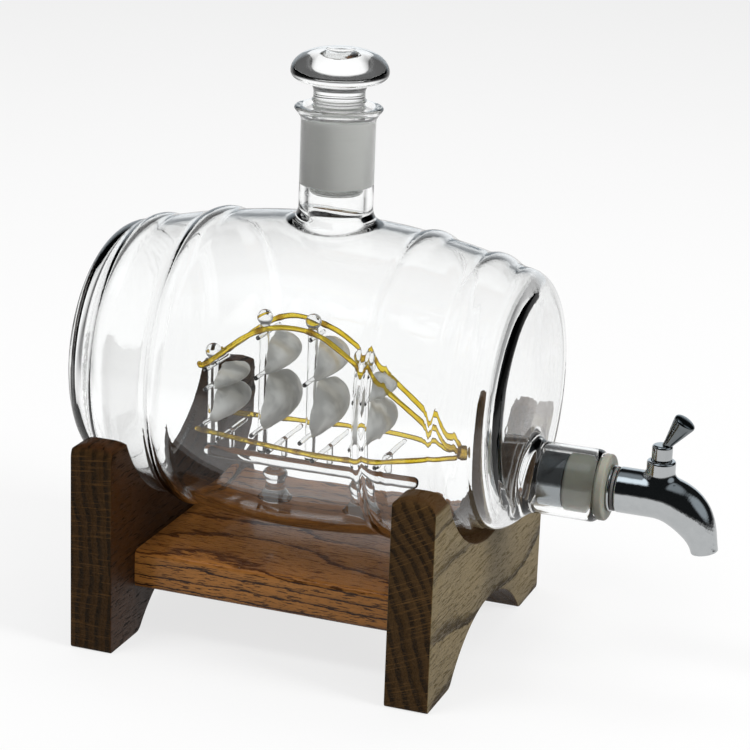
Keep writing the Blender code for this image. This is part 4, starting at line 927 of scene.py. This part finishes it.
MASTS = (
    {"x": -44.3, "ball": 1.5, "yards": (-3.0, -11.0), "top": 8.0, "low": 13.5, "stay": 10.5},
    {"x": -22.9, "ball": 18.2, "yards": (12.8, -3.0), "top": 8.5, "low": 15.0, "stay": 10.6},
    {"x": -2.9, "ball": 19.1, "yards": (13.6, -3.0), "top": 8.0, "low": 15.0, "stay": 6.8},
    {"x": 17.3, "ball": 7.8, "yards": (2.2, -8.0), "top": 4.5, "low": 14.0, "stay": 6.6},
)
BREADTHS = ((0.0, 0.62), (0.25, 0.84), (0.45, 0.98), (0.6, 1.0), (0.75, 0.84), (0.9, 0.40), (1.0, 0.085))
STERN_X, BOW_X, HULL_HALF_WIDTH = -45.5, 60.0, 19.0
KEEL_Z, KEEL_R = AXIS_Z - 40.1, 2.4
MAST_R, BALL_R, YARD_R, YARD_AHEAD, RAIL_R = 2.0, 3.1, 0.9, 0.45, 1.1
SAIL_THICK, SAIL_BELLY, SAIL_SPREAD = 1.1, 8.6, 6.5


def hull_breadth(x):
    share = (x - STERN_X) / (BOW_X - STERN_X)
    return HULL_HALF_WIDTH * float(np.interp(share, *zip(*BREADTHS)))


def hull_height(x):
    share = (x - STERN_X) / (BOW_X - STERN_X) * 2 - 1
    return AXIS_Z - 27.7 + (2.2 if share > 0 else 0.6) * share ** 2


def mast_yards(mast):
    lowest = hull_height(mast["x"] + MAST_R) + RAIL_R + GAP + YARD_R
    return AXIS_Z + mast["yards"][0], AXIS_Z + mast["yards"][1], lowest


def stay_height(mast):
    return AXIS_Z + mast["yards"][0] + 2 * YARD_R + RAIL_R


def make_sail(name, mast, high, low, top_reach, low_reach, finish, seed):
    """A soft-edged sail of blasted glass, thickest in its middle."""
    back = mast["x"] + MAST_R + YARD_AHEAD + GAP + SAIL_THICK
    middle, half = (high + low) / 2, (high - low) / 2 - GAP
    rings, around = 9, 56
    verts, rows = [], []
    for face in (1, -1):
        for i in range(rings + 1):
            out = i / rings
            count = around if i else 1
            rows.append(range(len(verts), len(verts) + count))
            for k in range(count):
                angle = 2 * math.pi * k / around
                c, s = math.cos(angle), math.sin(angle)
                wave = 1 + 0.035 * math.sin(5 * angle + seed) * out
                reach = out * wave * (0.55 / max(abs(c), abs(s)) + 0.45)
                tuck = 1 - 0.42 * max(0.0, reach - 1.05)
                u, v = (max(-1, min(1, way * reach * tuck)) for way in (c, s))
                width = low_reach + (top_reach - low_reach) * (v + 1) / 2 + SAIL_SPREAD * (1 - v * v)
                belly = SAIL_BELLY * (1 - v * v) * (1 - 0.6 * u * u)
                thick = SAIL_THICK * math.sqrt(max(0.0, 1 - out ** 4))
                verts.append((back + belly + face * thick, u * width, middle + v * half))
    shape = verts, bridge(rows[:rings + 1] + rows[:rings:-1])
    finish_piece(f"glass_{name}", shape, "barrel", finish, f"ship_{name}", sharp=80)


def make_hull(clear):
    """The keel and its two feet."""
    outline = [(0, -47.5), (1.5, -47.3), (KEEL_R, -46.0), (KEEL_R, 40.6), (1.5, 41.8), (0, 42.0)]
    shape = lathe(eased(outline, 1.0, 3), 32, False, (0, 0, KEEL_Z), "x")
    finish_piece("glass_keel", shape, "barrel", clear, "ship_keel")
    for end, x in (("rear", -17.2), ("front", 18.8)):
        low = AXIS_Z - math.sqrt((side_radius(x) - WALL) ** 2 - 8.0 ** 2) + 0.45
        outline = [(0, KEEL_Z - 2.7), (3.1, KEEL_Z - 2.7), (4.9, KEEL_Z - 4.1), (5.0, KEEL_Z - 6.0),
                   (3.8, KEEL_Z - 8.0), (3.9, KEEL_Z - 11.0), (5.6, low + 2.0), (7.6, low + 0.3), (0, low + 0.2)]
        shape = lathe(eased(outline, 1.4, 4), 48, False, (x, 0, 0))
        finish_piece(f"glass_foot_{end}", shape, "barrel", clear, f"ship_foot_{end}")


def make_masts(clear, low):
    """Four masts with their ball tops, yards and two sails each."""
    for number, mast in enumerate(MASTS, start=1):
        ball = AXIS_Z + mast["ball"]
        meet = math.asin(MAST_R / BALL_R)
        outline = [(BALL_R * math.cos(a), ball + BALL_R * math.sin(a))
                   for a in np.linspace(math.pi / 2, meet - math.pi / 2, 14)]
        outline[0] = (0, ball + BALL_R)
        outline += [(MAST_R, ball - 6.0), (1.9, (ball + low) / 2), (MAST_R, low + 0.5), (1.4, low), (0, low)]
        parts = [lathe(outline, 36, False, (mast["x"], 0, 0))]
        heights = mast_yards(mast)
        halfway = (mast["top"] + mast["low"]) / 2
        for height, reach in zip(heights, (mast["stay"], halfway, mast["low"])):
            yard_x = mast["x"] + MAST_R - YARD_AHEAD
            parts.append(tube([(yard_x, y, height) for y in np.linspace(-reach, reach, 15)], YARD_R, 16))
        finish_piece(f"glass_mast_{number}", join(*parts), "barrel", clear, f"ship_mast_{number}", sharp=50)
        sail = frosted_glass(f"sail_glass_{number}")
        make_sail(f"topsail_{number}", mast, *heights[:2], mast["top"], halfway, sail, number)
        make_sail(f"mainsail_{number}", mast, *heights[1:], halfway, mast["low"], sail, number + 2.1)


def make_thwarts(clear, low):
    """Rods across the hull, each with a post to the keel."""
    thwart_r = 1.0
    for end, x in (("stern", -36.0), ("aft", -13.5), ("middle", 5.5), ("bow", 30.0)):
        height = hull_height(x) - RAIL_R - GAP - thwart_r
        reach = hull_breadth(x)
        across = tube([(x, y, height) for y in np.linspace(-reach, reach, 21)], thwart_r, 18)
        outline = [(0, height), (1.2, height - 0.3), (1.2, low + 0.3), (0.9, low), (0, low)]
        shape = join(across, lathe(outline, 24, False, (x, 0, 0)))
        finish_piece(f"glass_thwart_{end}", shape, "barrel", clear, f"ship_thwart_{end}", sharp=50)


def make_ambers():
    """Two rails and two stays, fused to the yards and to the knob at the bow."""
    rail_knots, stay_knots = [], []
    for mast in MASTS:
        x = mast["x"] + MAST_R
        for side in (1, -1):
            stay_knots.append(((x, side * mast["stay"], stay_height(mast)), 2.6))
            rail_knots.append(((x, side * hull_breadth(x), mast_yards(mast)[2] - 2.0), 2.6))
    bow = ((BOW_X - 2.5, 0, hull_height(57) + 1.2), 6.0)
    rail_amber = amber_glass("rail_amber_glass", rail_knots + [bow])
    stay_amber = amber_glass("stay_amber_glass", stay_knots + [bow])
    rail_end = BOW_X - 3.0
    xs = [STERN_X + (rail_end - STERN_X) * share for share, _ in BREADTHS]
    rail = [(x, hull_breadth(x), hull_height(x)) for x in xs]
    stay = [(STERN_X, MASTS[0]["stay"], stay_height(MASTS[0]) - 0.8)]
    stay += [(m["x"] + MAST_R, m["stay"], stay_height(m)) for m in MASTS]
    stay.append((rail_end, hull_breadth(rail_end), hull_height(rail_end) + 2.5))
    for hand, sign in (("left", 1), ("right", -1)):
        for kind, points, knots, amber in (("rail", rail, rail_knots, rail_amber),
                                           ("stay", stay, stay_knots, stay_amber)):
            path = smooth_path([(x, sign * y, z) for x, y, z in points], 81)
            radii = []
            for p in path:
                near = min(math.dist(p, knot) for knot, _ in knots)
                radii.append(1.05 + 0.28 * math.exp(-(near / 1.6) ** 2) + 0.05 * math.sin(p[0] * 0.35 + sign))
            finish_piece(f"amber_{kind}_{hand}", tube(path, radii, 20), "barrel", amber, f"ship_{kind}_{hand}",
                         sharp=60)
    knob_r = 3.0
    outline = [(knob_r * math.cos(a), knob_r * math.sin(a)) for a in np.linspace(math.pi / 2, -math.pi / 2, 17)]
    outline[0], outline[-1] = (0, knob_r), (0, -knob_r)
    shape = lathe(outline, 32, False, (BOW_X - 0.7, 0, hull_height(rail_end) + 1.25), "x")
    finish_piece("amber_knob", shape, "barrel", amber_glass("knob_amber_glass", [bow]), "ship_bow_knob")


def make_ship():
    # The ship's glass takes a darker edge colour, as painted shade where its rods are seen edge on.
    clear = clear_glass("ship_clear_glass", edge=(0.20, 0.21, 0.22), waves=0.0003)
    on_keel = KEEL_Z + KEEL_R + GAP
    make_hull(clear)
    make_masts(clear, on_keel)
    make_thwarts(clear, on_keel)
    make_ambers()


# Tap

TAP_X = 120.8
VALVE_X = 136.4
BODY_R, SPOUT_R = 8.6, 5.1
BORE_R, MOUTH_R = 2.5, 3.7
BOSS_R, BOSS_TOP, CHAMBER_R = 5.4, 86.8, 3.9
SHANK_HOLE_R = 4.6


def spout_point(t):
    start = np.array((TAP_X + 13.0, 0, SPIGOT_Z))
    reach, drop = np.array((21.3, 0, 0)), np.array((0, 0, -19.5))
    first = start + reach * 0.587
    second = start + reach * 0.892 + drop * 0.41
    end = start + reach + drop
    return start * (1 - t) ** 3 + first * 3 * t * (1 - t) ** 2 + second * 3 * t * t * (1 - t) + end * t ** 3


def spout_radius(t, root, tip):
    share = max(0.0, (t - 0.25) / 0.75)
    return tip + (root - tip) * math.cos(math.pi / 2 * share ** 1.3) ** 2


def swept_field(points, path, radii):
    """Field of a round body along a path, cut square at both ends."""
    best = np.full(len(points), 1e9)
    slope = np.zeros_like(points)
    for a, b, ra, rb in zip(path, path[1:], radii, radii[1:]):
        edge = b - a
        t = np.clip(((points - a) @ edge) / (edge @ edge), 0, 1)
        gap = points - (a + t[:, None] * edge)
        size = np.linalg.norm(gap, axis=1) + 1e-9
        value = size - (ra + (rb - ra) * t)
        closer = value < best
        best[closer] = value[closer]
        slope[closer] = (gap / size[:, None])[closer]
    return best, slope


def cut_by_plane(a, points, origin, way, k):
    """Keep the side of a field behind a plane."""
    way = np.array(way, float)
    value = (points - origin) @ way
    plane = (-value, np.tile(-way, (len(points), 1)))
    return without(a, plane, k)


def make_tap_body(finish):
    """The body with its boss, chamber and bored spout, as one smooth form."""
    ts = np.linspace(0, 1, 49)
    path = [np.array((x, 0, SPIGOT_Z)) for x in np.linspace(TAP_X - 4, TAP_X + 12.5, 12)]
    path += [spout_point(t) for t in ts]
    radii = [BODY_R] * 12 + [spout_radius(t, BODY_R, SPOUT_R) for t in ts] + [SPOUT_R]
    bore = [BORE_R] * 12 + [spout_radius(t, BORE_R, MOUTH_R) for t in ts] + [MOUTH_R]
    tip, last = path[-1], path[-1] - path[-2]
    last /= np.linalg.norm(last)
    path.append(tip + last * 5)
    boss = np.array((VALVE_X, 0, SPIGOT_Z))

    def field(points):
        body = swept_field(points, path, radii)
        stem = pipe_field(points, boss, "z", BOSS_R, -1.0)
        stem = cut_by_plane(stem, points, (0, 0, BOSS_TOP), (0, 0, 1), 0.9)
        body = soft_union(body, stem, 2.2)
        body = cut_by_plane(body, points, (TAP_X, 0, 0), (-1, 0, 0), 1.0)
        body = cut_by_plane(body, points, tip, last, 0.8)
        body = without(body, pipe_field(points, boss, "z", CHAMBER_R, -5.8), 0.3)
        return without(body, swept_field(points, path, bore), 0.4)

    step = 0.5
    low_corner, high_corner = np.array((119.4, -10.2, 50.6)), np.array((161.6, 10.2, 88.2))
    points, counts = grid_points(low_corner, high_corner, step)
    verts, faces = surface_nets(field(points)[0].reshape(counts), low_corner, step)
    verts = settle(verts, field)
    normals = unit(field(verts)[1])
    shape = verts, wound(verts, faces.tolist(), normals)
    finish_piece("chrome_tap_body", shape, "tap", finish, "tap_body", normals=normals)


def collar_outline(outer, low, high, inner=SHANK_HOLE_R):
    return [(outer, low), (outer, high), (inner, high), (inner, low)]


def make_tap():
    # The nut, stem cap, lever and shank take darker copies of the chrome, as painted shade.
    plated = chrome("tap_chrome")
    make_tap_body(plated)
    flange = TUBE_END + GAP
    plug = flange - 12.3
    nut, collar, washer = plug - GAP - 10.0, flange + 3.9, flange + 5.2
    seal = [
        (11.0, flange + 3.6), (12.6, flange + 3.2), (12.6, flange + 0.3), (11.3, flange), (10.9, flange),
        (10.9, plug + 0.7), (10.3, plug), (SHANK_HOLE_R, plug), (SHANK_HOLE_R, flange + 3.6),
    ]
    for name, node, outline, reach, corner_steps, steps, finish in (
        ("silicone_seal", "tap_seal", seal, 0.9, 5, 112, silicone("seal_silicone")),
        ("chrome_back_nut", "tap_back_nut", collar_outline(10.3, nut, nut + 10.0), [0.8, 0.8, 0.3, 0.3], 5, 112,
         chrome("nut_chrome", 0.36)),
        ("chrome_collar", "tap_collar", collar_outline(8.8, collar, collar + 1.0), 0.35, 4, 96, plated),
        ("silicone_washer", "tap_washer", collar_outline(8.4, washer, washer + 1.1), 0.35, 4, 96,
         silicone("washer_silicone", (0.20, 0.20, 0.20), (0.30, 0.30, 0.29))),
    ):
        shape = lathe(eased(outline, reach, corner_steps, closed=True), steps, True, (0, 0, SPIGOT_Z), "x")
        finish_piece(name, shape, "tap", finish, node, sharp=45)
    gland = eased(collar_outline(3.6, 83.8, BOSS_TOP, 2.5), 0.2, 3, closed=True)
    finish_piece("chrome_gland", lathe(gland, 64, True, (VALVE_X, 0, 0)), "tap", plated, "gland_ring", sharp=45)
    cap_top = 92.9
    cap = [(0, cap_top), (3.2, cap_top), (3.85, 92.3), (3.85, 87.5), (3.5, 87.1), (2.5, 87.1), (2.5, 91.1),
           (0, 91.1)]
    shape = lathe(eased(cap, 0.45, 4), 72, False, (VALVE_X, 0, 0))
    finish_piece("chrome_stem_cap", shape, "tap_handle", chrome("handle_chrome", 0.06), "stem_cap", sharp=45)
    pitch = math.radians(58)
    way = (math.cos(pitch), 0, math.sin(pitch))
    lever = [(0, 12.6), (1.6, 12.55), (3.2, 12.3), (4.05, 11.9), (4.3, 11.3), (4.15, 10.5), (3.2, 6.6),
             (2.45, 3.6), (1.95, 1.6), (1.75, 0.4), (1.7, -0.9), (0, -0.9)]
    shape = lathe(eased(lever, 0.8, 4), 72, False, (VALVE_X + 1.6, 0, cap_top), way)
    finish_piece("chrome_lever", shape, "tap_handle", chrome("lever_chrome", 0.40), "tap_lever", sharp=45)
    dress("tap_shank", chrome("shank_chrome", 0.1))
    dress("valve_plug", brass("valve_brass"))
    dress("valve_o_ring", rubber("ring_rubber"))


# Studio

WHITE = (1.0, 1.0, 1.0)
BACKDROP_WAY = (-0.334, 0.928, -0.165)
FLOOR_WAY = (-0.339, 0.941, 0.0)


def soft_lamp(name, place, aim, size, power):
    data = bpy.data.lights.new(name, "AREA")
    data.shape = "RECTANGLE"
    data.size, data.size_y = size
    data.energy = power
    lamp = new_object(name, data)
    lamp.location = place
    lamp.rotation_euler = (Vector(aim) - Vector(place)).to_track_quat("-Z", "Y").to_euler()
    lamp.visible_glossy = lamp.visible_transmission = False


def make_world():
    """A white backdrop behind the decanter and a dim room round it, for glass and metal to show."""
    s = Shade("studio", bpy.data.worlds.new("studio"))
    bpy.context.scene.world = s.owner
    way = s.add("ShaderNodeTexCoord").outputs["Generated"]
    rise = s.add("ShaderNodeSeparateXYZ", way).outputs[2]
    ahead = s.vector("DOT_PRODUCT", way, BACKDROP_WAY)
    backdrop = s.times(s.span(ahead, 0.50, 0.86), s.span(rise, -0.02, 0.20, 1.0, 0.0))
    through = s.math("MULTIPLY_ADD", backdrop, 0.98, 0.12)

    def towards(x, y, z, edge, core):
        return s.span(s.vector("DOT_PRODUCT", way, tuple(Vector((x, y, z)).normalized())), edge, core)

    glints = 0.0
    for patch, power in (
        (towards(0.86, 0.02, 0.50, 0.86, 0.95), 0.42),  # window
        (s.span(rise, 0.84, 0.93), 0.30),  # ceiling
        (s.span(ahead, 0.72, 0.84), 0.85),  # backdrop
        (towards(-0.32, -0.30, 0.90, 0.955, 0.985), 1.3),  # lamp
    ):
        glints = s.larger(glints, s.times(patch, power))
    path = s.add("ShaderNodeLightPath").outputs
    seen = s.out("ShaderNodeBackground", WHITE, 0.32)
    for ray, colour, power in (("Glossy", (0.84, 0.93, 1.0), s.plus(glints, 0.012)),
                               ("Transmission", WHITE, through), ("Camera", WHITE, 1.0)):
        light = s.out("ShaderNodeBackground", colour, power)
        seen = s.out("ShaderNodeMixShader", path[f"Is {ray} Ray"], seen, light)
    s.add("ShaderNodeOutputWorld", seen)


def make_floor():
    """White to the camera, and to glass and metal as far as the backdrop and the table reach."""
    mesh = bpy.data.meshes.new("floor")
    half = 6.0
    mesh.from_pydata([(-half, -half, 0), (half, -half, 0), (half, half, 0), (-half, half, 0)], [], [(0, 1, 2, 3)])
    floor = new_object("floor", mesh)
    s = Shade("pale_floor")
    spot = s.add("ShaderNodeTexCoord").outputs["Object"]
    path = s.add("ShaderNodeLightPath").outputs
    camera, glossy, transmitted, diffuse = (
        path[f"Is {ray} Ray"] for ray in ("Camera", "Glossy", "Transmission", "Diffuse"))
    colour = s.mix(s.noise(spot, 3.0, 3.0), (0.86, 0.86, 0.86), (0.90, 0.90, 0.90))
    colour = s.mix(diffuse, colour, (0.32, 0.32, 0.32))
    matt = s.out("ShaderNodeBsdfDiffuse", colour, 0.5)
    away = s.vector("LENGTH", spot)
    behind = s.span(s.vector("DOT_PRODUCT", s.vector("NORMALIZE", spot), FLOOR_WAY), 0.50, 0.86)
    table = s.larger(s.span(away, 0.45, 0.75, 0.70, 0.05), s.times(behind, 0.70))
    bright = s.larger(s.span(away, 0.30, 0.60, 1.10, 0.25), s.times(behind, 1.10))
    seen = s.out("ShaderNodeMix", transmitted, None, table, bright)
    other = s.larger(glossy, transmitted)
    glow = s.out("ShaderNodeEmission", WHITE, s.larger(camera, s.times(other, seen)))
    share = s.math("MINIMUM", s.plus(s.times(camera, 0.74), s.times(other, 0.92)), s.larger(camera, other))
    s.add("ShaderNodeOutputMaterial", s.out("ShaderNodeMixShader", share, matt, glow))
    mesh.materials.append(s.owner)


def make_camera():
    """The photograph's camera, from the stand's corners, the barrel's axis and the tap."""
    data = bpy.data.cameras.new("camera")
    data.sensor_width = 36.0
    data.lens = 122.435
    camera = new_object("camera", data)
    yaw, pitch, roll = 0.3463, 0.3060, 0.0377
    ahead = Vector((-math.sin(yaw) * math.cos(pitch), math.cos(yaw) * math.cos(pitch), -math.sin(pitch)))
    right = Vector((math.cos(yaw), math.sin(yaw), 0))
    up = right.cross(ahead)
    c, s = math.cos(roll), math.sin(roll)
    matrix = Matrix((right * c + up * s, up * c - right * s, -ahead)).transposed().to_4x4()
    matrix.translation = (0.301802, -0.873631, 0.396855)
    camera.matrix_world = matrix
    bpy.context.scene.camera = camera


def main():
    scene = bpy.context.scene
    scene.view_settings.view_transform = "Standard"
    scene.cycles.max_bounces = 40
    scene.cycles.transmission_bounces = 40
    scene.cycles.transparent_max_bounces = 24
    make_camera()
    make_world()
    make_floor()
    soft_lamp("key", (1.20, -0.20, 0.75), (0, 0, 0.08), (0.5, 0.9), 12.0)
    soft_lamp("top", (-0.15, 0.45, 1.25), (0, 0, 0.08), (1.0, 0.5), 6.0)
    soft_lamp("fill", (-0.45, -0.55, 1.30), (0, 0, 0.05), (0.5, 0.35), 6.0)
    make_stand()
    make_vessel(clear_glass("vessel_glass", frost=(176.0, 201.6, 12.6)))
    make_stopper(clear_glass("stopper_glass", frost=(176.2, 201.4, 12.2)))
    make_ship()
    make_tap()


main()
